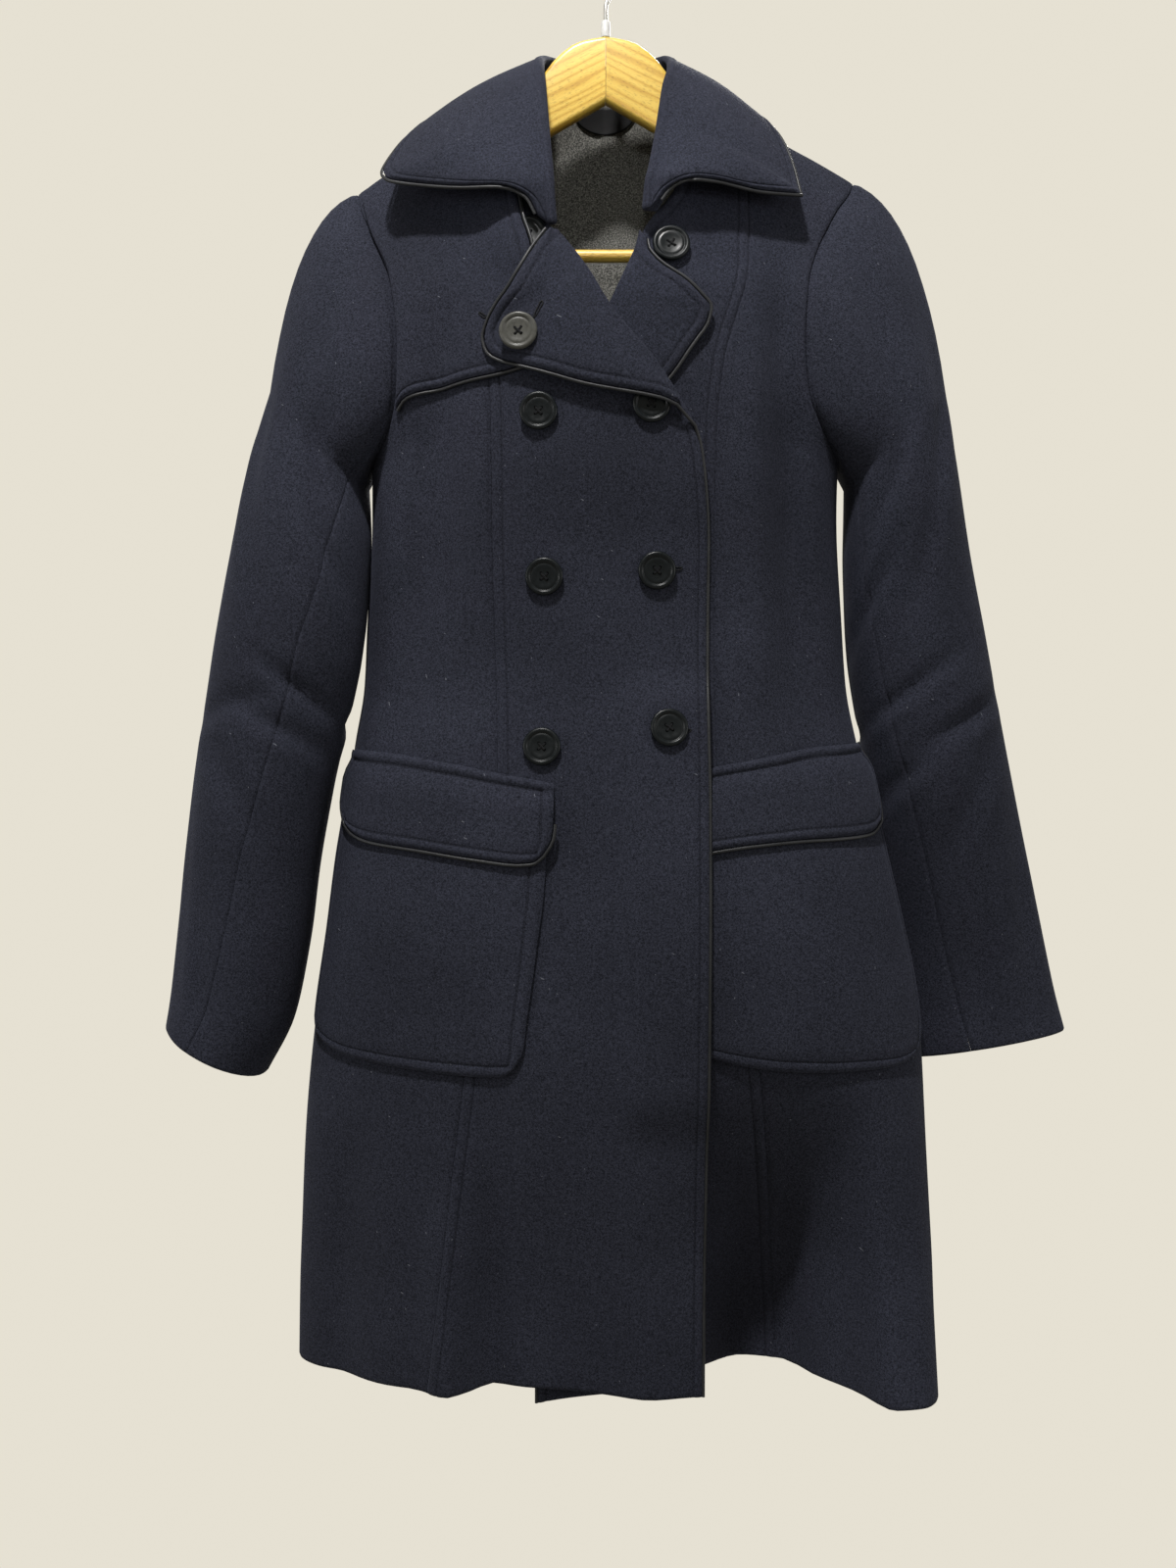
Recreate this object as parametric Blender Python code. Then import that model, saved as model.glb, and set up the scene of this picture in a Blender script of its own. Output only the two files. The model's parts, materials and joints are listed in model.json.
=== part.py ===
"""A long double-breasted wool coat with a big collar, hung on a wooden hanger.

Lengths are millimetres and become metres as each mesh is made. X runs to the right of somebody
who looks at the front, Y away from them, Z up. The origin is inside the crown of the hanger's
hook. Left and right in the names are the wearer's, so the right front lies at -X.

The body is one surface, body(a, z): a runs -1 to 1 across the front and 1 to 3 round the back,
with the side seams at a = 1 and a = -1 (or 3). Every panel, pocket, flap and lapel is a patch of
it, moved out by its lift.
"""

import math
from collections import namedtuple

import bmesh
import bpy
import numpy as np

MM = 0.001

CLOTH = 2.4  # melton, one layer
DOUBLE_CLOTH = 3.0  # collar and lapels, two layers pressed
PATCH_CLOTH = 2.2  # pockets, flaps and the storm flap
QUARTER_GIRTH = 270  # about the cloth from the middle of the front to the side seam
SEAM = 0.3  # gap between pieces that are sewn together
LAID = 0.7  # gap under a piece that is laid on another
POCKET_LAID = 1.2  # on the side's tighter curve
PIPING = 1.2  # radius
BUTTON = 13.6  # radius
BUTTON_THICK = 3.4
HEM = -1065
WAIST_ROW = -420  # below it every panel's rows are level
SHOULDER_FALL = 150  # how far below the shoulder the body reaches its full depth
ROUNDNESS = 0.66

# ---------------------------------------------------------------- body sections

Section = namedtuple("Section", "z left right y_left y_right front back square")
BODY = [
    Section(-90, -201, 199, 0, 0, 57, 50, 2.4),
    Section(-225, -201, 199, 0, 0, 60, 51, 2.4),
    Section(-281, -198, 197, 0, 0, 70, 54, 2.4),
    Section(-340, -190, 188, 0, 0, 74, 55, 2.4),
    Section(-392, -177, 176, 0, 0, 73, 52, 2.3),
    Section(-430, -177, 175, 0, 0, 71, 48, 2.3),
    Section(-510, -181, 179, 0, 0, 66, 42, 2.3),
    Section(-556, -183, 182, 0, 0, 68, 43, 2.3),
    Section(-600, -190, 190, 0, -2, 73, 48, 2.3),
    Section(-652, -197, 203, 0, -4, 78, 53, 2.3),
    Section(-682, -202, 210, 0, -5, 80, 55, 2.3),
    Section(-737, -209, 222, 0, -9, 82, 58, 2.3),
    Section(-809, -220, 235, 0, -14, 80, 60, 2.3),
    Section(-884, -227, 237, 0, -23, 72, 66, 2.3),
    Section(-966, -231, 238, 2, -40, 58, 76, 2.3),
    Section(-1011, -233, 236, 4, -58, 50, 82, 2.3),
    Section(HEM, -234, 235, 5, -76, 45, 86, 2.3),
]

# The shoulder line's height. Inside the neck it is only the line the surface hangs from.
Shoulder = namedtuple("Shoulder", "x right left")
SHOULDER = [
    Shoulder(0, 5, 5),
    Shoulder(20, -14, -14),
    Shoulder(40, -44, -44),
    Shoulder(52, -75, -75),
    Shoulder(60, -97, -97),
    Shoulder(80, -110, -109),
    Shoulder(105, -125, -123),
    Shoulder(134, -145, -142),
    Shoulder(160, -162, -156),
    Shoulder(188, -180, -172),
    Shoulder(204, -192, -182),
]
NECK_X = 60
PRINCESS_X = 105
TIP_X = 188
TIP_Z = {"right": -180, "left": -172}

# How far the hem's folds push the front out (-) or in (+), at the hem itself.
Fold = namedtuple("Fold", "x push")
RIGHT_HEM = [
    Fold(-234, 0), Fold(-186, -6), Fold(-140, -12), Fold(-116, -24), Fold(-98, -8),
    Fold(-80, 12), Fold(-45, 11), Fold(21, 8), Fold(70, 17),
]
LEFT_HEM = [
    Fold(-50, 12), Fold(0, 20), Fold(40, 42), Fold(72, 72), Fold(104, 96), Fold(134, 90),
    Fold(152, 62), Fold(177, 32), Fold(200, -4), Fold(222, -5), Fold(235, 0),
]
FOLDS_BEGIN = -815

# ---------------------------------------------------------------- seams and edges, as (z, x)

Seam = namedtuple("Seam", "z x")
PRINCESS = {
    "right": [
        Seam(-125, -105), Seam(-230, -96), Seam(-370, -83), Seam(-470, -82), Seam(-625, -78),
        Seam(-834, -101), Seam(-943, -114), Seam(HEM, -129),
    ],
    "left": [
        Seam(-123, 105), Seam(-250, 103), Seam(-327, 84), Seam(-374, 79), Seam(-480, 77),
        Seam(-600, 78), Seam(-834, 108), Seam(-1020, 127), Seam(HEM, 129),
    ],
}
# Neck seam, then the lapel's roll line, then the finished edge.
FRONT_EDGE = {
    "right": [
        Seam(-97, -60), Seam(-130, -62), Seam(-165, -60), Seam(-200, -53), Seam(-230, -39),
        Seam(-246, -26), Seam(-266, -13), Seam(-296, 5), Seam(-331, 34), Seam(-350, 47),
        Seam(-371, 60), Seam(-399, 67), Seam(-462, 71.8), Seam(-630, 71), Seam(-769, 70.4),
        Seam(-943, 68.8), Seam(HEM, 67.4),
    ],
    "left": [
        Seam(-97, 60), Seam(-130, 62), Seam(-165, 60), Seam(-200, 49), Seam(-226, 29),
        Seam(-243, 21), Seam(-263, 13), Seam(-287, 2), Seam(-343, -24), Seam(-375, -38),
        Seam(-400, -47.5), Seam(-430, -50), Seam(-600, -50), Seam(-1078, -50),
    ],
}
ARMHOLE_FRONT = {
    "right": [
        Seam(-180, 188), Seam(-193, 186), Seam(-217, 176), Seam(-241, 166), Seam(-260, 159),
        Seam(-304, 152.5), Seam(-344, 153.5), Seam(-365, 158), Seam(-380, 166), Seam(-392, 177),
    ],
    "left": [
        Seam(-172, 188), Seam(-182, 185), Seam(-199, 174), Seam(-216, 165), Seam(-238, 155),
        Seam(-262, 148), Seam(-307, 144.5), Seam(-344, 147.5), Seam(-368, 158), Seam(-392, 176),
    ],
}
ARMHOLE_BACK = [
    Seam(-172, 188), Seam(-182, 187), Seam(-225, 176), Seam(-281, 168), Seam(-340, 166),
    Seam(-375, 170), Seam(-392, 176.5),
]
BACK_NECK = [Seam(-90, 0), Seam(-90.5, 20), Seam(-92, 40), Seam(-97, 60)]
UNDERLAP_DROP = -13  # the under front's corner hangs lower than the hem

# Fractions of the way from a panel's top to WAIST_ROW; 0.88 is the underarm.
UPPER_ROWS = [0, 0.012, 0.04, 0.09, 0.165, 0.26, 0.35, 0.44, 0.53, 0.63, 0.75, 0.88, 1]
UNDERARM_ROW = 0.88
LEVEL_ROW = 11  # the rows above this one slope with the shoulder
LOWER_ROWS = [-465, -510, -556, -604, -655, -710, -765, -815, -865, -915, -965, -1015, HEM]


def through(knots, values, at):
    """Height at `at` of a smooth curve through the points; past its ends it stays level."""
    if at <= knots[0]:
        return values[0]
    if at >= knots[-1]:
        return values[-1]
    i = int(np.searchsorted(knots, at)) - 1
    step = knots[i + 1] - knots[i]
    slope = (values[i + 1] - values[i]) / step

    def tangent(j):
        if j == 0 or j == len(knots) - 1:
            return slope
        before = (values[j] - values[j - 1]) / (knots[j] - knots[j - 1])
        after = (values[j + 1] - values[j]) / (knots[j + 1] - knots[j])
        if before * after <= 0:
            return 0.0
        return 2 * before * after / (before + after)

    s = (at - knots[i]) / step
    m0 = tangent(i) * step
    m1 = tangent(i + 1) * step
    rise = values[i + 1] - values[i]
    return values[i] + s * (m0 + s * (3 * rise - 2 * m0 - m1 + s * (m0 + m1 - 2 * rise)))


class Table:
    """Rows with named columns, read smoothly by their first column."""

    def __init__(self, rows):
        rows = sorted(rows)
        self.knots = [row[0] for row in rows]
        self.columns = {
            name: [getattr(row, name) for row in rows] for name in rows[0]._fields[1:]
        }

    def read(self, name, at):
        return through(self.knots, self.columns[name], at)


BODY_TABLE = Table(BODY)
SHOULDER_TABLE = Table(SHOULDER)
HEM_TABLE = {"right": Table(RIGHT_HEM), "left": Table(LEFT_HEM)}
SEAM_TABLES = {
    "princess": {side: Table(PRINCESS[side]) for side in PRINCESS},
    "edge": {side: Table(FRONT_EDGE[side]) for side in FRONT_EDGE},
    "armhole_front": {side: Table(ARMHOLE_FRONT[side]) for side in ARMHOLE_FRONT},
}
ARMHOLE_BACK_TABLE = Table(ARMHOLE_BACK)
BACK_NECK_TABLE = Table([namedtuple("Neck", "x z")(row.x, row.z) for row in BACK_NECK])
SIGN = {"right": -1, "left": 1}


def smooth(start, end, at):
    """0 before start, 1 after end, easing between; start may be the larger."""
    s = min(max((at - start) / (end - start), 0), 1)
    return s * s * (3 - 2 * s)


def lerp(start, end, s):
    return start + (end - start) * s


# ---------------------------------------------------------------- the body's surface


def shoulder_height(x):
    return SHOULDER_TABLE.read("right" if x < 0 else "left", abs(x))


def across(z):
    """Middle and half width of the body at height z."""
    left = BODY_TABLE.read("left", z)
    right = BODY_TABLE.read("right", z)
    return (left + right) / 2, (right - left) / 2


def girth(x, z):
    """The a of the front point that stands at x."""
    middle, half = across(z)
    return 2 / math.pi * math.asin(min(max((x - middle) / half, -1), 1))


def body(a, z, layer="right"):
    """A point of the outer surface. layer picks the front whose folds it has."""
    middle, half = across(z)
    t = math.sin(math.pi / 2 * a)
    x = middle + half * t
    square = BODY_TABLE.read("square", z)
    bulge = max(1 - abs(t) ** square, 0) ** (1 / square)
    below = min(max(shoulder_height(x) - z, 0) / SHOULDER_FALL, 1)
    bulge *= (1 - (1 - below) ** 2) ** ROUNDNESS
    spine = lerp(BODY_TABLE.read("y_left", z), BODY_TABLE.read("y_right", z), (t + 1) / 2)
    if math.cos(math.pi / 2 * a) < 0:
        return np.array([x, spine + BODY_TABLE.read("back", z) * bulge, z])
    push = HEM_TABLE[layer].read("push", x) * smooth(FOLDS_BEGIN, HEM, z)
    return np.array([x, spine - BODY_TABLE.read("front", z) * bulge + push, z])


def outward(a, z, layer="right"):
    """The surface's normal, turned straight up along the top of the shoulder."""
    da = 0.01
    dz = 1.0
    along = body(a + da, z, layer) - body(a - da, z, layer)
    up = body(a, z + dz, layer) - body(a, z - dz, layer)
    normal = np.cross(along, up)
    normal /= np.linalg.norm(normal)
    x = body(a, z, layer)[0]
    on_surface = smooth(0, 12, shoulder_height(x) - z) if abs(x) >= NECK_X - 3 else 1
    normal = lerp(np.array([0, 0, 1.0]), normal, on_surface)
    return normal / np.linalg.norm(normal)


def wall(a, z, layer, lift, thick):
    """Outer and inner point of cloth whose outer face is `lift` above the body."""
    point = body(a, z, layer)
    normal = outward(a, z, layer)
    return point + normal * lift, point + normal * (lift - thick)


def right_front_lift(x, z):
    """The right front lies over the left one, over its lapel and over its pocket and flap."""
    overlap = smooth(-86, -56, x) * smooth(-180, -300, z)
    on_lapel = smooth(-80, -40, x) * smooth(-225, -305, z) * smooth(-460, -405, z)
    on_pocket = smooth(4, 26, x) * smooth(-545, -577, z) * smooth(-890, -848, z)
    return 4.2 * overlap + 3.2 * on_lapel + 6.8 * on_pocket


# ---------------------------------------------------------------- meshes


def material(name, colour, roughness, metallic=0.0):
    made = bpy.data.materials.new(name)
    made.use_nodes = True
    shader = made.node_tree.nodes["Principled BSDF"]
    shader.inputs["Base Color"].default_value = (*colour, 1)
    shader.inputs["Roughness"].default_value = roughness
    shader.inputs["Metallic"].default_value = metallic
    return made


def add_object(name, bm, surface):
    bmesh.ops.recalc_face_normals(bm, faces=bm.faces)
    if bm.calc_volume(signed=True) < 0:
        bmesh.ops.reverse_faces(bm, faces=bm.faces)
    mesh = bpy.data.meshes.new(name)
    bm.to_mesh(mesh)
    bm.free()
    mesh.shade_smooth()
    mesh.set_sharp_from_angle(angle=math.radians(40))
    mesh.materials.append(surface)
    made = bpy.data.objects.new(name, mesh)
    bpy.context.collection.objects.link(made)
    return made


def cloth(name, columns, rows, place, surface):
    """A closed wall. place(u, v) gives its outer and inner point; returns them by (i, j)."""
    bm = bmesh.new()
    bmesh.ops.create_grid(bm, x_segments=len(columns) - 1, y_segments=len(rows) - 1, size=1)
    outer = list(bm.verts)
    made = bmesh.ops.extrude_face_region(bm, geom=bm.faces[:], use_keep_orig=True)
    inner = [item for item in made["geom"] if isinstance(item, bmesh.types.BMVert)]
    found = {}
    for skin, verts in enumerate((outer, inner)):
        for vert in verts:
            i = round((vert.co.x + 1) / 2 * (len(columns) - 1))
            j = round((vert.co.y + 1) / 2 * (len(rows) - 1))
            if (i, j) not in found:
                found[i, j] = place(columns[i], rows[j])
            vert.co = found[i, j][skin] * MM
    bmesh.ops.triangulate(bm, faces=bm.faces, quad_method="SHORT_EDGE")
    add_object(name, bm, surface)
    return found


def even(count):
    return [i / count for i in range(count + 1)]


def tube(name, points, radius, sides, surface):
    """A round rod through the points, with flat ends."""
    bm = bmesh.new()
    points = [np.array(point, float) for point in points]
    last = None
    normal = None
    for i, point in enumerate(points):
        forward = points[min(i + 1, len(points) - 1)] - points[max(i - 1, 0)]
        forward /= np.linalg.norm(forward)
        if normal is None:
            normal = np.cross(forward, [0.3, 1, 0.2])
        normal = normal - forward * normal.dot(forward)
        normal /= np.linalg.norm(normal)
        side = np.cross(forward, normal)
        ring = []
        for j in range(sides):
            turn = 2 * math.pi * j / sides
            spot = point + radius * (normal * math.cos(turn) + side * math.sin(turn))
            ring.append(bm.verts.new(spot * MM))
        if last:
            for j in range(sides):
                k = (j + 1) % sides
                bm.faces.new((last[j], last[k], ring[k], ring[j]))
        else:
            bm.faces.new(ring[::-1])
        last = ring
    bm.faces.new(last)
    return add_object(name, bm, surface)


def resample(points, count):
    """Points spaced evenly along a smooth curve through the given ones, ends kept."""
    points = [np.array(point, float) for point in points]
    reach = [0.0]
    for before, after in zip(points, points[1:]):
        reach.append(reach[-1] + float(np.linalg.norm(after - before)))
    axes = [[float(point[k]) for point in points] for k in range(len(points[0]))]
    return [
        np.array([through(reach, axis, reach[-1] * s) for axis in axes]) for s in even(count)
    ]


def follow(points, s):
    """The point a fraction s along a smooth curve through the points."""
    points = [np.array(point, float) for point in points]
    reach = [0.0]
    for before, after in zip(points, points[1:]):
        reach.append(reach[-1] + float(np.linalg.norm(after - before)))
    at = reach[-1] * s
    return np.array(
        [through(reach, [float(point[k]) for point in points], at) for k in range(len(points[0]))]
    )


# ---------------------------------------------------------------- panels


def row_height(top, row, drop=0):
    """Height of a panel row at one of its edges; rows run 0 to 1 and then on below the waist."""
    if row < len(UPPER_ROWS):
        return lerp(top, WAIST_ROW, UPPER_ROWS[row])
    z = LOWER_ROWS[row - len(UPPER_ROWS)]
    return z + drop * smooth(-900, HEM, z)


ALL_ROWS = range(len(UPPER_ROWS) + len(LOWER_ROWS))


def girth_at(seam, side, z):
    """Where a seam crosses height z, in the body's a."""
    if seam == "side" and z <= row_height(TIP_Z[side], UPPER_ROWS.index(UNDERARM_ROW)):
        return float(SIGN[side])
    if seam == "side":
        return girth(SIGN[side] * SEAM_TABLES["armhole_front"][side].read("x", z), z)
    return girth(SEAM_TABLES[seam][side].read("x", z), z)


def front_panel(name, side, seams, tops, columns, surface):
    """A front panel between two seams, whose tops are at the given x on the shoulder line."""
    corners = [SIGN[side] * x for x in tops]
    heights = [shoulder_height(x) for x in corners]
    drops = [UNDERLAP_DROP if side == "left" and seam == "edge" else 0 for seam in seams]
    gap = 1 if corners[1] > corners[0] else -1

    def place(u, row):
        row = round(row)
        ends = []
        for seam, top, drop in zip(seams, heights, drops):
            z = row_height(top, row, drop)
            ends.append(np.array([girth_at(seam, side, z), z]))
        a, z = lerp(ends[0], ends[1], u)
        x_top = lerp(corners[0], corners[1], u)
        z_top = shoulder_height(x_top)
        tops = [girth(corner, height) for corner, height in zip(corners, heights)]
        fade = (1 - min(row / LEVEL_ROW, 1)) ** 2
        a += (girth(x_top, z_top) - lerp(tops[0], tops[1], u)) * fade
        z += (z_top - lerp(heights[0], heights[1], u)) * fade
        _, half = across(z)
        a += gap * SEAM / 2 / half * (1 - 2 * u) if seams[1] != "edge" or u < 0.5 else 0
        lift = right_front_lift(body(a, z)[0], z) if side == "right" else 0
        outer, inner = wall(a, z, side, lift, CLOTH)
        shift = np.array([0, -SEAM / 2 if row < LEVEL_ROW else 0, 0])
        return outer + shift, inner + shift

    return cloth(name, even(columns), list(ALL_ROWS), place, surface)


def back_panel(name, side, columns, surface):
    """Half of the back, from the armhole and side seam to the centre back seam."""
    top = np.array([SIGN[side] * TIP_X, TIP_Z[side]])

    def turned(a):
        """The back's a for the point behind the front's a."""
        return 2 - a if side == "left" else -2 - a

    def place(u, row):
        row = round(row)
        z_side = row_height(TIP_Z[side], row)
        if z_side > row_height(TIP_Z[side], UPPER_ROWS.index(UNDERARM_ROW)):
            a_side = girth(SIGN[side] * ARMHOLE_BACK_TABLE.read("x", z_side), z_side)
        else:
            a_side = float(SIGN[side])
        z_spine = row_height(BACK_NECK[0].z, row)
        middle = girth(across(z_spine)[0], z_spine)
        a, z = lerp(np.array([a_side, z_side]), np.array([middle, z_spine]), u)
        x_top = top[0] * (1 - u)
        if abs(x_top) >= NECK_X:
            z_top = shoulder_height(x_top)
        else:
            z_top = BACK_NECK_TABLE.read("z", abs(x_top))
        fade = (1 - min(row / LEVEL_ROW, 1)) ** 2
        straight = lerp(
            np.array([girth(top[0], top[1]), top[1]]), np.array([middle, BACK_NECK[0].z]), u
        )
        a += (girth(x_top, z_top) - straight[0]) * fade
        z += (z_top - straight[1]) * fade
        _, half = across(z)
        a -= SIGN[side] * SEAM / 2 / half * (1 - 2 * u)
        outer, inner = wall(turned(a), z, side, 0, CLOTH)
        shift = np.array([0, SEAM / 2 if row < LEVEL_ROW else 0, 0])
        return outer + shift, inner + shift

    # A column stands where the shoulder meets the neck, so that corner is kept.
    corner = 1 - NECK_X / TIP_X
    shares = [corner * i / (columns - 3) for i in range(columns - 3)]
    shares += [lerp(corner, 1, i / 3) for i in range(4)]
    return cloth(name, shares, list(ALL_ROWS), place, surface)


def patch(sides, u, v):
    """A point inside four edges: left and right run down, top and bottom run from left."""
    left, right, top, bottom = sides
    blend = lerp(follow(left, v), follow(right, v), u) + lerp(follow(top, u), follow(bottom, u), v)
    ends = lerp(
        lerp(np.array(left[0], float), np.array(right[0], float), u),
        lerp(np.array(left[-1], float), np.array(right[-1], float), u),
        v,
    )
    return blend - ends


def laid_piece(name, side, sides, lift, thick, columns, rows, surface):
    """A piece on the body: its edges as (x, z), and lift(u, v, x, z) of its inner face."""
    flat = [[(girth(x, z) * QUARTER_GIRTH, z) for x, z in edge] for edge in sides]

    def place(u, v):
        around, z = patch(flat, u, v)
        a = around / QUARTER_GIRTH
        return wall(a, z, side, lift(u, v, body(a, z, side)[0], z) + thick, thick)

    return cloth(name, columns, rows, place, surface)


def beside(grid, path):
    """Points just outside a cloth's edge, for piping; path lists its edge's (i, j) in order."""
    last = [max(key[k] for key in grid) for k in range(2)]
    middles = {key: (grid[key][0] + grid[key][1]) / 2 for key in grid}
    aways = []
    side = 0
    for n, (i, j) in enumerate(path):
        point = middles[i, j]
        before = point - middles[path[max(n - 1, 0)]]
        after = middles[path[min(n + 1, len(path) - 1)]] - point
        runs = [run / np.linalg.norm(run) for run in (before, after) if run.any()]
        run = sum(runs)
        away = np.cross(run, grid[i, j][0] - grid[i, j][1])
        away /= np.linalg.norm(away)
        side += away.dot(point - middles[min(max(i, 1), last[0] - 1), min(max(j, 1), last[1] - 1)])
        aways.append(away / max(np.linalg.norm(run) / len(runs), 0.6))
    reach = math.copysign(PIPING + LAID, side)
    return [middles[key] + away * reach for key, away in zip(path, aways)]


# ---------------------------------------------------------------- lapels, flaps and pockets, (x, z)

RIGHT_LAPEL_ROLL = [
    (-36, -232), (-26, -246), (-13, -266), (5, -296), (34, -331), (47, -350), (50.5, -355),
]
RIGHT_LAPEL_TOP_EDGE = [
    (-40.5, -236), (-47.5, -248), (-58, -267.4), (-70.5, -286), (-81.6, -299.4), (-86, -312),
]
RIGHT_LAPEL_LOW_EDGE = [
    (-86, -312), (-84.4, -320), (-77, -327), (-60, -333.5), (-38.5, -340), (-17.6, -346),
    (4, -350.2), (25.2, -353.7), (40.2, -357), (49, -361),
]
LEFT_LAPEL_ROLL = [
    (23.5, -232), (21, -243), (13, -263), (2, -287), (-24, -343), (-38, -375), (-44, -392),
]
LEFT_LAPEL_TOP_EDGE = [
    (27.5, -238), (28.5, -246), (38.3, -259.7), (55, -272), (66, -283), (72, -291),
]
LEFT_LAPEL_LOW_EDGE = [
    (72, -291), (72, -295), (70.4, -300), (59, -317), (44, -339), (20, -362), (-10, -384), (-41, -398),
]
Lift = namedtuple("Lift", "v roll near far edge")
RIGHT_LAPEL_LIFT = [
    Lift(0, 1.7, 3.5, 8.5, 10), Lift(0.14, 2, 7, 11, 12), Lift(0.25, 2, 6.5, 10, 11),
    Lift(0.38, 2, 6, 5, 4), Lift(0.7, 2, 5.5, 6.5, 5.8), Lift(0.9, 1.5, 5, 6, 6),
    Lift(1, 0.9, 3, 5, 5.5),
]
LEFT_LAPEL_LIFT = [
    Lift(0, 0.8, 1.5, 2, 2), Lift(0.15, 0.8, 3, 4, 4), Lift(0.32, 0.8, 2, 4.5, 5),
    Lift(0.5, 0.8, 0.8, 1, 2.2), Lift(0.62, 0.8, 0.8, 0.8, 0.8), Lift(1, 0.8, 0.8, 0.8, 0.8),
]
TIP_SHARE = 0.38  # of the way down the roll, opposite the lapel's tip
LAPEL_ROWS = [0, 0.08, 0.17, 0.27, 0.34, 0.38, 0.42, 0.5, 0.6, 0.72, 0.84, 0.93, 1]
STORM_FLAP_ROWS = [0, 0.025, 0.06, 0.11, 0.18, 0.27, 0.37, 0.48, 0.6, 0.73, 0.87, 1]

STORM_FLAP = {
    "armhole": [
        (-184, -185), (-175.5, -215), (-158, -258), (-150.8, -304), (-151.5, -340), (-152.5, -357),
    ],
    "front": [
        (-75, -117), (-70, -165), (-64, -205), (-60.5, -222), (-54, -250), (-48, -290),
        (-47, -318), (-50, -331),
    ],
    "shoulder": [(-184, -185), (-160, -168), (-134, -152), (-105, -133), (-75, -117)],
    "hem": [
        (-152.5, -357), (-146, -349), (-134.7, -345.3), (-117, -342.5), (-92.8, -338.8),
        (-66, -334.5), (-50, -331),
    ],
}
RIGHT_POCKET = {
    "side": [(-193, -640), (-199, -680), (-204, -720), (-209.5, -760), (-215, -800), (-213, -814)],
    "front": [
        (-40, -648), (-42.6, -679), (-44.4, -709), (-48, -737), (-53, -774), (-56.6, -799),
        (-58.5, -817), (-65, -830),
    ],
    "top": [(-193, -640), (-150, -633), (-90, -638), (-40, -648)],
    "hem": [
        (-213, -814), (-205, -821), (-190, -827), (-169.6, -830.5), (-139, -834), (-109.5, -836.4),
        (-83, -837.5), (-73, -836), (-65, -830),
    ],
}
LEFT_POCKET = {
    "front": [(35, -646), (38, -709), (46, -774), (51, -806), (57, -818)],
    "side": [
        (196.5, -636), (203.5, -665), (211, -700), (221.5, -750), (228, -790), (229.5, -812),
        (224, -825),
    ],
    "top": [(35, -646), (90, -636), (150, -630), (196.5, -636)],
    "hem": [
        (57, -818), (77.5, -824), (98.6, -828.7), (125.4, -832.7), (161.5, -834.6), (199.4, -834),
        (214, -831.5), (224, -825),
    ],
}
RIGHT_FLAP = {
    "side": [(-185, -604), (-188, -620), (-191, -640), (-188, -659)],
    "front": [(-37.1, -630.3), (-37.4, -650), (-39, -668), (-45.5, -680)],
    "top": [(-185, -604), (-151.7, -608.2), (-110.6, -615.7), (-71.4, -623.7), (-37.1, -630.3)],
    "hem": [
        (-188, -659), (-182, -666), (-170.4, -671), (-129.8, -677), (-90, -683), (-60, -686.2),
        (-52, -685), (-45.5, -680),
    ],
}
LEFT_FLAP = {
    "front": [(30, -627), (30, -650), (33, -670), (40, -680)],
    "side": [(185.5, -599.5), (189, -607.4), (194, -621.6), (197.5, -640), (198, -657)],
    "top": [(30, -627), (74, -618.6), (108.8, -612.3), (145.5, -604.5), (185.5, -599.5)],
    "hem": [
        (40, -680), (52, -681), (74.5, -677), (99, -673.5), (126, -671), (163, -669),
        (188, -666.4), (198, -657),
    ],
}


def lapel(name, side, roll, top_edge, low_edge, lifts, base, rows, surface):
    """A lapel between its roll line and its outer edge, whose tip lies opposite TIP_SHARE."""
    outer = [follow(top_edge, s / 8) for s in range(8)]
    outer += [follow(low_edge, s) for s in even(14)]
    shares = [TIP_SHARE * i / 8 for i in range(8)] + [lerp(TIP_SHARE, 1, s) for s in even(14)]
    xs = [float(point[0]) for point in outer]
    zs = [float(point[1]) for point in outer]
    table = Table(lifts)

    def place(u, v):
        edge = np.array([through(shares, xs, v), through(shares, zs, v)])
        x, z = lerp(follow(roll, v), edge, u)
        heights = [table.read(name, v) for name in Lift._fields[1:]]
        height = base(x, z) + through([0, 0.35, 0.7, 1], heights, u) + DOUBLE_CLOTH
        return wall(girth(x, z), z, side, height, DOUBLE_CLOTH)

    return cloth(name, even(7), rows, place, surface)


def storm_flap_lift(x, z):
    """It lies on the front and rises over the button that is half under it."""
    away = math.hypot(x + 56, z + 237)
    return LAID + 0.4 + 7.8 * math.exp(-((away / 30) ** 4)) + right_front_lift(x, z)


def pocket_lift(u, v):
    """A patch pocket stands off a little in the middle."""
    return POCKET_LAID + 3.0 * math.sin(math.pi * u) * math.sin(math.pi * v) ** 2


def flap_lift(v):
    """A flap is sewn down along its top and then clears the pocket."""
    return POCKET_LAID + (PATCH_CLOTH + LAID + 1.3) * smooth(0.08, 0.35, v)


# ---------------------------------------------------------------- sleeves

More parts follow.
